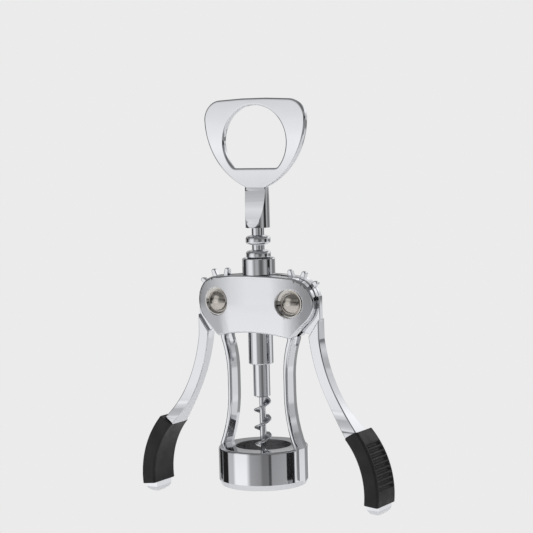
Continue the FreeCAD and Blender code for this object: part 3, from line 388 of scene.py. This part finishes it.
# the second colour: on the black grips a painted sheen in patches, on the nylon its flow marks
soft_black = plastic("soft_touch_black_moulded", "#131314", "#1C1C1E", 0.42, 0.56, 0.3, 0.03, 8,
                     0.32, 0)
nylon = plastic("nylon_moulded", "#4A4A4C", "#565658", 0.3, 0.42, 0.8, 0.01, 5, 0.5, 0.1)

# %% Finishes for the frame's own pieces
FINISH_OF = {nylon: ["bottle_ring"],
             soft_black: ["left_grip", "right_grip"],
             tumbled_steel: ["left_pivot_bolt", "right_pivot_bolt", "left_pivot_cap",
                             "right_pivot_cap"],
             pressed_steel: ["pivot_cup_washers", "pivot_spacers", "thrust_washer",
                             "spindle_rod"],
             chromed_steel: ["worm"],
             chromed_turned: ["neck_sleeve", "rack_sleeve", "worm_ferrule"]}
for name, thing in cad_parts.items():
    finish = next((m for m, names in FINISH_OF.items() if name in names), chromed_zinc)
    thing.data.materials.clear()
    thing.data.materials.append(finish)
    print(name, "is", finish.name)

# %% [markdown]
# ## Drawing with a pen of steel
# Most of these pieces start as an outline: straight runs and arcs in the plane of the front. A
# vertex is extruded along each run and spun along each arc, as a draughtsman's pen moves, and the
# closed line becomes a face. A lathe-turned piece is half an outline spun round the upright axis.
# A few short names for the operators that come back in every piece keep the rest easy to read.

# %% Picking and cutting
WELD, FINE_WELD, CUT = 2e-6, 1e-6, 1e-7


def verts_in(geom):
    return [v for v in geom if isinstance(v, bmesh.types.BMVert)]


def edges_in(geom):
    return [e for e in geom if isinstance(e, bmesh.types.BMEdge)]


def whole(mesh):
    return mesh.verts[:] + mesh.edges[:] + mesh.faces[:]


def once_each(geom):
    """Drops repeats but keeps the order, so that each run gives the same mesh; a set would not."""
    return list(dict.fromkeys(geom))


def cut(mesh, spot, normal, **settings):
    """Cuts every face along a plane and keeps both sides, unless the settings say otherwise."""
    bmesh.ops.bisect_plane(mesh, geom=whole(mesh), plane_co=spot, plane_no=normal, dist=CUT,
                           **settings)


def mirror_to_back(mesh):
    bmesh.ops.mirror(mesh, geom=whole(mesh), axis="Y", merge_dist=FINE_WELD)


def rounded(mesh, geom, radius, segments, affect="EDGES"):
    bmesh.ops.bevel(mesh, geom=geom, offset=radius, segments=segments, profile=0.5,
                    affect=affect, material=-1)


# %% A rim that runs like a quarter circle
def quarter_steps(steps):
    """The angles at which each step of a quarter circle starts and ends."""
    return [[math.radians(90) * k / steps for k in (n, n + 1)] for n in range(steps)]


def rolled_rim(mesh, faces, radius, steps):
    """Insets flat faces in small steps, each a little further in and further out."""
    for a, b in quarter_steps(steps):
        bmesh.ops.inset_region(mesh, faces=faces, use_boundary=True, use_even_offset=True,
                               thickness=radius * (math.cos(a) - math.cos(b)),
                               depth=radius * (math.sin(b) - math.sin(a)))


print("a quarter circle in 3 steps:", [round(math.degrees(b)) for a, b in quarter_steps(3)])

# %% Outline and lathe
ARC_STEP = math.radians(4)


def outline(mesh, corners, step=ARC_STEP):
    """A closed line through (x, z) corners in mm. A third value bends the run that follows:
    its radius, positive where the arc turns anticlockwise as seen from the front."""
    before = set(mesh.verts)
    spots = [Vector((c[0] * MM, 0, c[1] * MM)) for c in corners]
    tip = first = mesh.verts.new(spots[0])
    for n, corner in enumerate(corners):
        start, end = spots[n], spots[(n + 1) % len(spots)]
        run = end - start
        if len(corner) == 2:
            made = bmesh.ops.extrude_vert_indiv(mesh, verts=[tip])["verts"]
            bmesh.ops.translate(mesh, verts=made, vec=run)
            tip = made[0]
            continue
        radius = corner[2] * MM
        left = Vector((-run.z, 0, run.x)).normalized()
        reach = math.sqrt(max(radius ** 2 - run.length_squared / 4, 0))
        centre = (start + end) / 2 + left * math.copysign(reach, radius)
        sweep = 2 * math.asin(min(1, run.length / 2 / abs(radius)))
        made = bmesh.ops.spin(mesh, geom=[tip], cent=centre, axis=(0, -1, 0), dvec=(0, 0, 0),
                              angle=math.copysign(sweep, radius),
                              steps=max(2, math.ceil(sweep / step)))
        tip = verts_in(made["geom_last"])[0]
    bmesh.ops.remove_doubles(mesh, verts=[v for v in mesh.verts if v not in before], dist=WELD)
    return [e for e in mesh.edges if not before.intersection(e.verts)]


def turned(mesh, corners, steps=128, step=ARC_STEP):
    """A lathe-turned body: half its section, (radius, height) in mm, spun about Z."""
    section = outline(mesh, corners, step)
    bmesh.ops.spin(mesh, geom=section + once_each(v for e in section for v in e.verts),
                   cent=(0, 0, 0), axis=(0, 0, 1), dvec=(0, 0, 0), angle=math.tau, steps=steps,
                   use_merge=True)
    bmesh.ops.remove_doubles(mesh, verts=mesh.verts, dist=WELD)


# %% From a bmesh to a piece on its body
def piece(title, mesh, body, material, stands_for=(), crease=35, unbuffed_and_shaded=None):
    """Turns a finished bmesh into a piece that rides on its body. Faces that pass the test given
    last take the rougher zinc, whose darker grey is painted shade for bores and slots."""
    bmesh.ops.remove_doubles(mesh, verts=mesh.verts, dist=WELD)
    bmesh.ops.recalc_face_normals(mesh, faces=mesh.faces)
    for f in mesh.faces:
        f.material_index = 1 if unbuffed_and_shaded and unbuffed_and_shaded(f.calc_center_median(), f.normal) else 0
    data = bpy.data.meshes.new(title)
    mesh.to_mesh(data)
    open_edges = sum(1 for e in mesh.edges if len(e.link_faces) != 2)
    mesh.free()
    data.shade_smooth()
    data.set_sharp_from_angle(angle=math.radians(crease))
    data.materials.append(material)
    if unbuffed_and_shaded:
        data.materials.append(rough_zinc_painted_shade)
    made = bpy.data.objects.new(title, data)
    SCENE.collection.objects.link(made)
    even = made.modifiers.new("even_shading", "WEIGHTED_NORMAL")
    even.keep_sharp = True
    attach(made, body)
    if stands_for:
        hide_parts(*stands_for)
    print(title, len(data.polygons), "faces,", open_edges, "open edges")


# %% [markdown]
# ## The body casting
# One zinc casting carries everything: a collar that drops over the bottle, two legs with a crease
# down the middle of each side, and a head of two crowned plates with the levers' slot between.
# Booleans could join it, but they can leave slivers that a mirror finish shows at once. The
# pattern maker draws it in three parts, and so does this lesson: three pieces that meet flush.

# %% Collar
MOUTH_TOP, MOUTH_ROUND, CORK_HOLE = 3 * MM, 0.35 * MM, 12.7 * MM
mesh = bmesh.new()
turned(mesh, [(15.3, 0), (19.1, 0), (20, 2.2), (20, 16, 1), (19, 17), (12.6, 17, 0.3),
              (12.3, 16.7), (12.3, 14.5), (16, 14.5), (16, 12), (15.3, 12)],
       step=math.radians(15))
corners = [e for e in mesh.edges if len(e.link_faces) == 2
           and e.calc_face_angle(0) > math.radians(15)
           and abs(e.verts[0].co.z - e.verts[1].co.z) < FINE_WELD
           and min(v.co.z for v in e.verts) < MOUTH_TOP]
rounded(mesh, corners, MOUTH_ROUND, 4)
# the bore and the step round the cork hole take the rougher zinc; its darker grey is painted shade
piece("collar", mesh, "frame", chromed_zinc, ["body_casting"],
      unbuffed_and_shaded=lambda at, normal: at.xy.dot(normal.xy) < 0 or at.xy.length < CORK_HOLE)

# %% Legs
# the right leg is drawn and its twin copied; the ends are buried in the collar and the head
LEG_HALF_DEPTH, LEG_CREASE, LEG_ROUND = 4.3 * MM, 0.92 * MM, 0.8 * MM
SLOT_HALF, SLOT_FLOOR = 1.9 * MM, 62 * MM
mesh = bmesh.new()
line = outline(mesh, [(21.2, 2.2), (21.2, 17, -60), (16.35, 41), (16.35, 49, -48), (19.5, 65.1),
                      (19.5, 70), (15.1, 70), (15.1, 65.1, 50), (12.7, 49), (12.7, 41, 69),
                      (17, 17), (17, 2.2)])
bmesh.ops.contextual_create(mesh, geom=line)
bmesh.ops.recalc_face_normals(mesh, faces=mesh.faces)
if mesh.faces[0].normal.y > 0:
    bmesh.ops.reverse_faces(mesh, faces=mesh.faces)
front = mesh.faces[0]
bmesh.ops.inset_region(mesh, faces=[front], thickness=LEG_CREASE, depth=LEG_HALF_DEPTH,
                       use_even_offset=True, use_boundary=True)
rounded(mesh, front.edges[:], LEG_ROUND, 6)
mirror_to_back(mesh)
# the slot for the lever is sawn into the top of the leg
cut(mesh, (0, 0, SLOT_FLOOR), (0, 0, 1))
cut(mesh, (0, SLOT_HALF, 0), (0, 1, 0))
cut(mesh, (0, -SLOT_HALF, 0), (0, 1, 0))
sawn = [f for f in mesh.faces if f.calc_center_median().z > SLOT_FLOOR
        and abs(f.calc_center_median().y) < SLOT_HALF]
bmesh.ops.delete(mesh, geom=sawn, context="FACES")
bed = [v for v in mesh.verts if abs(v.co.z - SLOT_FLOOR) < FINE_WELD
       and abs(v.co.y) < SLOT_HALF + FINE_WELD]
bmesh.ops.contextual_create(mesh, geom=bed)
for side in (-1, 1):
    loop = [e for e in mesh.edges if len(e.link_faces) == 1
            and all(abs(v.co.y - side * SLOT_HALF) < FINE_WELD for v in e.verts)]
    bmesh.ops.contextual_create(mesh, geom=loop)
twin = bmesh.ops.duplicate(mesh, geom=whole(mesh))["geom"]
bmesh.ops.scale(mesh, verts=verts_in(twin), vec=(-1, 1, 1))
piece("legs", mesh, "frame", chromed_zinc, ["body_casting"], crease=20)

# %% Head plates: the flat front with its rolled rim
HEAD_ROUND, HEAD_FOOT_X, HEAD_FOOT_ROUND, STEPS = 0.7 * MM, 18.58, 0.88 * MM, 6
mesh = bmesh.new()
outline(mesh, [(HEAD_FOOT_X, 65.85), (26.41, 73.42, 11.1), (29.8, 81.4, 11.1),
               (19.77, 92.45, 205.8), (0, 93.4, 205.8), (-19.77, 92.45, 11.1),
               (-29.8, 81.4, 11.1), (-26.41, 73.42), (-HEAD_FOOT_X, 65.85, -77.8)],
        step=math.radians(3))
points = [v for v in mesh.verts if abs(abs(v.co.x) - HEAD_FOOT_X * MM) < FINE_WELD
          and v.co.z < 66 * MM]
rounded(mesh, points, HEAD_FOOT_ROUND, 6, affect="VERTICES")
bmesh.ops.contextual_create(mesh, geom=mesh.edges[:])
front = mesh.faces[0]
if front.normal.y > 0:
    front.normal_flip()
rolled_rim(mesh, [front], HEAD_ROUND, STEPS)
rim = [e for e in mesh.edges if e.is_boundary]
level = front.verts[0].co.y
print("head front", len(front.verts), "corners, level", round(level / MM, 2), "mm")

# %% Head plates: round recesses for the pins
PIVOT_X, PIVOT_Z, RECESS_RADIUS, RECESS_RIM = 18.7 * MM, 81.4 * MM, 6.2 * MM, 0.3 * MM
# while the plate is still flat, its layers are told apart by their depth
RECESS_LAYER, BACK_LAYER = 3 * HEAD_ROUND, 5 * HEAD_ROUND
fill = list(front.edges)
bmesh.ops.delete(mesh, geom=[front], context="FACES_ONLY")
recesses = []
for side in (-1, 1):
    centre = Matrix.Translation((side * PIVOT_X, level, PIVOT_Z))
    ring = bmesh.ops.create_circle(mesh, segments=64, radius=RECESS_RADIUS + RECESS_RIM,
                                   matrix=centre @ Matrix.Rotation(math.pi / 2, 4, "X"))["verts"]
    recesses.append(once_each(e for v in ring for e in v.link_edges))
bmesh.ops.triangle_fill(mesh, edges=fill + recesses[0] + recesses[1], use_beauty=True,
                        normal=(0, -1, 0))
for side, ring in zip((-1, 1), recesses):
    # the rim rolls over in a quarter circle before the wall goes straight in
    for a, b in quarter_steps(STEPS):
        made = bmesh.ops.extrude_edge_only(mesh, edges=ring)["geom"]
        rolled, ring = verts_in(made), edges_in(made)
        shrink = ((RECESS_RADIUS + RECESS_RIM * (1 - math.sin(b)))
                  / (RECESS_RADIUS + RECESS_RIM * (1 - math.sin(a))))
        bmesh.ops.scale(mesh, verts=rolled, vec=(shrink, 1, shrink),
                        space=Matrix.Translation((-side * PIVOT_X, 0, -PIVOT_Z)))
        bmesh.ops.translate(mesh, verts=rolled,
                            vec=(0, RECESS_RIM * (math.cos(a) - math.cos(b)), 0))
    made = bmesh.ops.extrude_edge_only(mesh, edges=ring)["geom"]
    bmesh.ops.translate(mesh, verts=verts_in(made), vec=(0, RECESS_LAYER, 0))
    bmesh.ops.contextual_create(mesh, geom=edges_in(made))
made = bmesh.ops.extrude_edge_only(mesh, edges=rim)["geom"]
bmesh.ops.translate(mesh, verts=verts_in(made), vec=(0, BACK_LAYER, 0))
bmesh.ops.contextual_create(mesh, geom=edges_in(made))
print("head front with its recesses", len(mesh.faces), "faces")

# %% Head plates: crown, bore and back
HEAD_DEPTH, FACE_RADIUS, PILLOW_RADIUS, RECESS_SEAT = 8.5 * MM, 105 * MM, 260 * MM, 5.1 * MM
BORE_RADIUS, SEAT_RADIUS, SLEEVE_FOOT = 5.9 * MM, 7.4 * MM, 91.7 * MM
# fine cuts give the faces enough points to bend them to their crown and to the rack's bore
cuts = [(x * 1.5 * MM, 0) for x in range(-19, 20)] + [(0, z * MM) for z in range(66, 93, 2)]
cuts += [(side * math.sqrt(r ** 2 - SLOT_HALF ** 2), 0) for side in (-1, 1)
         for r in (BORE_RADIUS, SEAT_RADIUS)]
cuts += [(0, SLEEVE_FOOT - 0.02 * MM), (0, SLEEVE_FOOT + 0.02 * MM)]
for x, z in cuts:
    cut(mesh, (x, 0, z), (0, 0, 1) if z else (1, 0, 0))
for v in mesh.verts:
    x, z = v.co.x, v.co.z
    crown = math.sqrt(FACE_RADIUS ** 2 - x * x) - FACE_RADIUS + HEAD_DEPTH - HEAD_ROUND
    pillow = (z - PIVOT_Z) ** 2 / 2 / PILLOW_RADIUS
    if v.co.y > (RECESS_LAYER + BACK_LAYER) / 2:
        bore = SEAT_RADIUS if z > SLEEVE_FOOT else BORE_RADIUS
        v.co.y = -max(SLOT_HALF, math.sqrt(max(0, bore ** 2 - x * x)))
    elif v.co.y > HEAD_ROUND:
        v.co.y = -RECESS_SEAT
    else:
        v.co.y -= crown - pillow
mirror_to_back(mesh)
# the faces towards the slot and the bore take the rougher zinc; its darker grey is painted shade
piece("head_plates", mesh, "frame", chromed_zinc, ["body_casting"], crease=30,
      unbuffed_and_shaded=lambda at, normal: at.y * normal.y < 0 and abs(normal.y) > 0.3)

# %% [markdown]
# ## The levers
# A real lever is one die casting: a gear sector that meshes with the rack, a blade that dives
# into the head's slot, and an arm with two flat faces that flares to fill the grip. Die casting
# leaves soft corners, and polishing softens them more, so every rim is rounded. Those narrow
# roundings see the dark side of the room and draw the fine dark line round each bright face.
# All three are plates, so one outline each, made thick and bevelled along its rims, is enough.

# %% Plates with rounded rims
def slab(mesh, corners, half, edge=0, step=ARC_STEP):
    """A plate of the outline's shape, half its thickness in metres either side of the middle."""
    line = outline(mesh, corners, step)
    sheet = bmesh.ops.contextual_create(mesh, geom=line)["faces"]
    made = bmesh.ops.extrude_face_region(mesh, geom=sheet)["geom"]
    far = verts_in(made)
    near = once_each(v for e in line for v in e.verts)
    bmesh.ops.translate(mesh, verts=near, vec=(0, -half, 0))
    bmesh.ops.translate(mesh, verts=far, vec=(0, half, 0))
    bmesh.ops.recalc_face_normals(mesh, faces=mesh.faces)
    if edge:
        round_rims(mesh, [e for v in near + far for e in v.link_edges], edge)


def round_rims(mesh, edges, radius):
    """Rounds those edges that run along a plate's front or back rim."""
    rims = [e for e in once_each(edges) if e.calc_face_angle(0) > math.radians(50)
            and e.verts[0].co.y * e.verts[1].co.y > 0]
    rounded(mesh, rims, radius * MM, 4)


def both_sides(title, build, stands_for, material, crease=30):
    """Builds the right wing's piece and its mirror twin on the left."""
    for side, name in ((1, "right"), (-1, "left")):
        mesh = bmesh.new()
        build(mesh)
        bmesh.ops.scale(mesh, verts=mesh.verts, vec=(side, 1, 1))
        piece(f"{name}_{title}", mesh, f"{name}_wing", material,
              [f"{name}_{stands_for}"], crease)


# %% Gear sector and blade
GEAR_X, GEAR_Z, ROOT, TIP_CENTRE, TIP_ROUND = 18.7, 81.4, 11.4, 13.9, 1.05
# teeth, in degrees about the pivot: the first one's middle, the step, half the foot and the tip
TEETH, FIRST_TOOTH, TOOTH_STEP, TOOTH_FOOT, TOOTH_TIP = 6, 39.9, 30, 6.2, 4.2
BLADE_HALF, BLADE_EASE = 1.35 * MM, 0.05 * MM


def polar(angle, radius):
    """A corner at this angle and radius from the pivot."""
    turn = math.radians(angle)
    return GEAR_X + radius * math.cos(turn), GEAR_Z + radius * math.sin(turn)


def gear(mesh):
    """Teeth with round tips, then a toothless round back, and the blade down to the arm."""
    corners = []
    for n in range(TEETH):
        middle = FIRST_TOOTH + n * TOOTH_STEP
        corners += [polar(middle - TOOTH_FOOT, ROOT),
                    (*polar(middle - TOOTH_TIP, TIP_CENTRE), TIP_ROUND),
                    polar(middle + TOOTH_TIP, TIP_CENTRE),
                    (*polar(middle + TOOTH_FOOT, ROOT), ROOT)]
    last = FIRST_TOOTH + (TEETH - 1) * TOOTH_STEP + TOOTH_FOOT
    rest = 360 - TOOTH_FOOT + FIRST_TOOTH - last
    corners += [(*polar(last + rest * k / 3, ROOT), ROOT) for k in (1, 2)]
    slab(mesh, corners, BLADE_HALF, 0.45, step=math.radians(8))
    slab(mesh, [(18.7, 84.7), (18.7, 69.9), (26.6, 67.4), (27.6, 63.4), (30.3, 63.4),
                (31.3, 73.1), (31.3, 84.7)], BLADE_HALF - BLADE_EASE, 0.3)


both_sides("gear_blade", gear, "lever", chromed_zinc)

# %% Arms
ARM_HALF, ARM_FOOT_HALF, ARM_ROUND = 2.75 * MM, 6.0 * MM, 0.5
FLARE_TOP, FLARE_FOOT, FLARE_POWER = 43 * MM, 23.87 * MM, 2.4


def arm(mesh):
    """A bowed bar whose front and back flare away from each other towards the grip."""
    slab(mesh, [(31.3, 74.7), (26.0, 66.9, 79), (45.03, 23.87), (49.8, 26.7, -69), (31.3, 66)],
         ARM_HALF, step=math.radians(1.2))
    for n in range(1, 20):
        cut(mesh, (0, 0, FLARE_TOP - n * MM), (0, 0, 1))
    for v in mesh.verts:
        part = max(0, (FLARE_TOP - v.co.z) / (FLARE_TOP - FLARE_FOOT))
        half = ARM_HALF + (ARM_FOOT_HALF - ARM_HALF) * part ** FLARE_POWER
        v.co.y = math.copysign(half, v.co.y)
    round_rims(mesh, mesh.edges, ARM_ROUND)


both_sides("arm", arm, "lever", chromed_zinc, crease=25)

# %% [markdown]
# ## The grips
# The soft grips are moulded from a rubbery black plastic over the levers' ends. A block of even
# section is swept round a gentle bend, and the outward face is ribbed so that a thumb does not
# slip. The ribs are shallow waves rather than cut slots, because the moulding has to leave its
# tool. Real waves in the mesh, and not only bumps in the material, let their round tops catch
# the light and show in the outline.

# %% Grips
BEND_X, BEND_INNER, BEND_OUTER = 19.7 * MM, 34.8, 41.8
FOOT_ANGLE, TOP_INNER, TOP_OUTER = -6.3, 43.3, 41.1
FOOT_HALF, TOP_HALF, CORNER = 8.3, 7.1, 1.2
RIBS, FIRST_GAP, RIB_STEP, RIB_DEPTH, RIB_HALF = 9, 4.5, 3.3, 0.95 * MM, 6.8 * MM
RIB_END, RIB_POWER, END_ROUND, SWEEP_STEPS = 0.7 * MM, 0.8, 0.4 * MM, 180


def grip(mesh):
    """The section is swept round the bend, and then each vertex is moved: the grip thins towards
    its top, and the outward face dips in waves that run out softly at both ends of each rib."""
    low, high, side = BEND_INNER + CORNER, BEND_OUTER - CORNER, FOOT_HALF - CORNER
    stations = (-6.9, -6.65, -6.4, -6.1, -5.5, 5.5, 6.1, 6.4, 6.65, 6.9)
    section = [(low, -FOOT_HALF), (high, -FOOT_HALF, CORNER), (BEND_OUTER, -side)]
    section += [(BEND_OUTER, y) for y in stations]
    section += [(BEND_OUTER, side, CORNER), (high, FOOT_HALF), (low, FOOT_HALF, CORNER),
                (BEND_INNER, side), (BEND_INNER, -side, CORNER)]
    line = outline(mesh, section, step=math.radians(15))
    for turn, axis in ((90, "X"), (-FOOT_ANGLE, "Y")):
        bmesh.ops.rotate(mesh, verts=mesh.verts,
                         matrix=Matrix.Rotation(math.radians(turn), 3, axis))
    made = bmesh.ops.spin(mesh, geom=line + mesh.verts[:], cent=(0, 0, 0), axis=(0, -1, 0),
                          dvec=(0, 0, 0), angle=math.radians(TOP_INNER - FOOT_ANGLE),
                          steps=SWEEP_STEPS)
    for end in (line, edges_in(made["geom_last"])):
        bmesh.ops.contextual_create(mesh, geom=end)
    for v in mesh.verts:
        radius, angle = math.hypot(v.co.x, v.co.z), math.degrees(math.atan2(v.co.z, v.co.x))
        part = (angle - FOOT_ANGLE) / (TOP_INNER - FOOT_ANGLE)
        outward = (radius / MM - BEND_INNER) / (BEND_OUTER - BEND_INNER)
        angle -= part * outward * (TOP_INNER - TOP_OUTER)
        wave = (angle - FIRST_GAP) / RIB_STEP
        if outward > 0.999 and -0.5 < wave < RIBS - 0.5 and abs(v.co.y) < RIB_HALF:
            end = min(1, (RIB_HALF - abs(v.co.y)) / RIB_END)
            gap = (0.5 + 0.5 * math.cos(math.tau * wave)) ** RIB_POWER
            radius -= RIB_DEPTH * gap * end * end * (3 - 2 * end)
        turn = math.radians(angle)
        slimmer = 1 - (1 - TOP_HALF / FOOT_HALF) * part ** 2
        v.co = (BEND_X + radius * math.cos(turn), v.co.y * slimmer, radius * math.sin(turn))
    ends = [e for e in mesh.edges if any(len(f.verts) > 8 for f in e.link_faces)]
    rounded(mesh, ends, END_ROUND, 3)


both_sides("grip_moulding", grip, "grip", soft_black, crease=40)

# %% [markdown]
# ## The opener
# The handle is a bottle opener: a flat shield with a D-shaped eye, on a round hub that thins
# between two hollow flats. It is cast with the hub, linished flat and buffed, and the buffing
# rounds every rim of the plate, inside the eye too. The rounded rims are made by insetting the
# flat face in small steps, each a little further in and a little further out, the way a quarter
# circle runs. On a face of many triangles that is safer than a bevel, which can leave whiskers.

# %% Opener plate
PLATE_HALF, PLATE_ROUND, RIM_STEPS, BORDER = 1.4 * MM, 0.85 * MM, 5, 0.15 * MM
mesh = bmesh.new()
rims = outline(mesh, [(-5.2, 130.3), (5.2, 130.3), (5.45, 131.8, 33.2), (26.1, 161.665, 8.6),
                      (18.123, 170.242, 250), (-18.123, 170.242, 8.6), (-26.1, 161.665, 33.2),
                      (-5.45, 131.8)])
rims += outline(mesh, [(-10.017, 140.15), (10.017, 140.15, 2.5), (11.872, 140.974, 16),
                       (0, 167.7, 16), (-11.872, 140.974, 2.5)])
bmesh.ops.triangle_fill(mesh, edges=rims, use_beauty=True, normal=(0, -1, 0))
for f in mesh.faces:
    if f.normal.y > 0:
        f.normal_flip()
face = mesh.faces[:]
rolled_rim(mesh, face, PLATE_ROUND, RIM_STEPS)
# a narrow flat border keeps the rims' shading off the face
bmesh.ops.inset_region(mesh, faces=face, thickness=BORDER, depth=0, use_boundary=True,
                       use_even_offset=True)
rim = [e for e in mesh.edges if e.is_boundary]
made = bmesh.ops.extrude_edge_only(mesh, edges=rim)["geom"]
bmesh.ops.translate(mesh, verts=verts_in(made), vec=(0, PLATE_HALF - PLATE_ROUND, 0))
bmesh.ops.translate(mesh, verts=mesh.verts, vec=(0, PLATE_ROUND - PLATE_HALF, 0))
mirror_to_back(mesh)
piece("opener_plate", mesh, "spindle", chromed_zinc, ["bottle_opener"])

# %% Opener hub
# the hub keeps the frame's own shape, cut free just above its shoulder
HUB_TOP = 131.7 * MM
mesh = bmesh.new()
mesh.from_mesh(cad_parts["bottle_opener"].data)
bmesh.ops.remove_doubles(mesh, verts=mesh.verts, dist=FINE_WELD)
cut(mesh, (0, 0, HUB_TOP), (0, 0, 1), clear_outer=True)
bmesh.ops.holes_fill(mesh, edges=[e for e in mesh.edges if e.is_boundary])
piece("opener_hub", mesh, "spindle", chromed_zinc, ["bottle_opener"], crease=25)

# %% [markdown]
# ## The worm
# The screw that bites the cork is a round core with one helical blade, forged from wire and
# ground. A section of the blade is spun about the axis while it climbs, one pitch each turn, and
# both the blade and the core are drawn in to a point at the tip. A screw modifier could wind it
# too, but the spin leaves plain mesh that the point can be pinched from.

# %% Worm
WORM_TIP, WORM_POINT, BLADE_TOP, CORE_TOP, PITCH = 12.6, 4.6, 37.6, 39.2, 7.8
CORE_RADIUS, BLADE_FOOT, START, TURN_STEPS = 1.4 * MM, 0.9, math.radians(46.15), 220
mesh = bmesh.new()
section = outline(mesh, [(0.9, -0.85), (3.45, -0.5, 0.5), (3.45, 0.5), (0.9, 0.85)],
                  step=math.radians(30))
bmesh.ops.translate(mesh, verts=mesh.verts, vec=(0, 0, (WORM_TIP + BLADE_FOOT) * MM))
bmesh.ops.rotate(mesh, verts=mesh.verts, matrix=Matrix.Rotation(START, 3, "Z"))
climb = BLADE_TOP - WORM_TIP - BLADE_FOOT
made = bmesh.ops.spin(mesh, geom=section + mesh.verts[:], cent=(0, 0, 0), axis=(0, 0, 1),
                      dvec=(0, 0, climb / TURN_STEPS * MM), angle=climb / PITCH * math.tau,
                      steps=TURN_STEPS)
for end in (section, edges_in(made["geom_last"])):
    bmesh.ops.contextual_create(mesh, geom=end)
core = Matrix.Translation((0, 0, (WORM_TIP + CORE_TOP) / 2 * MM))
bmesh.ops.create_cone(mesh, cap_ends=True, segments=32, radius1=CORE_RADIUS, radius2=CORE_RADIUS,
                      depth=(CORE_TOP - WORM_TIP) * MM, matrix=core)
cut(mesh, (0, 0, (WORM_TIP + WORM_POINT) * MM), (0, 0, 1))
for v in mesh.verts:
    part = min(1, max(0.08, (v.co.z / MM - WORM_TIP) / WORM_POINT))
    v.co.x, v.co.y = v.co.x * part, v.co.y * part
piece("worm_screw", mesh, "spindle", chromed_steel, ["worm"], crease=50)
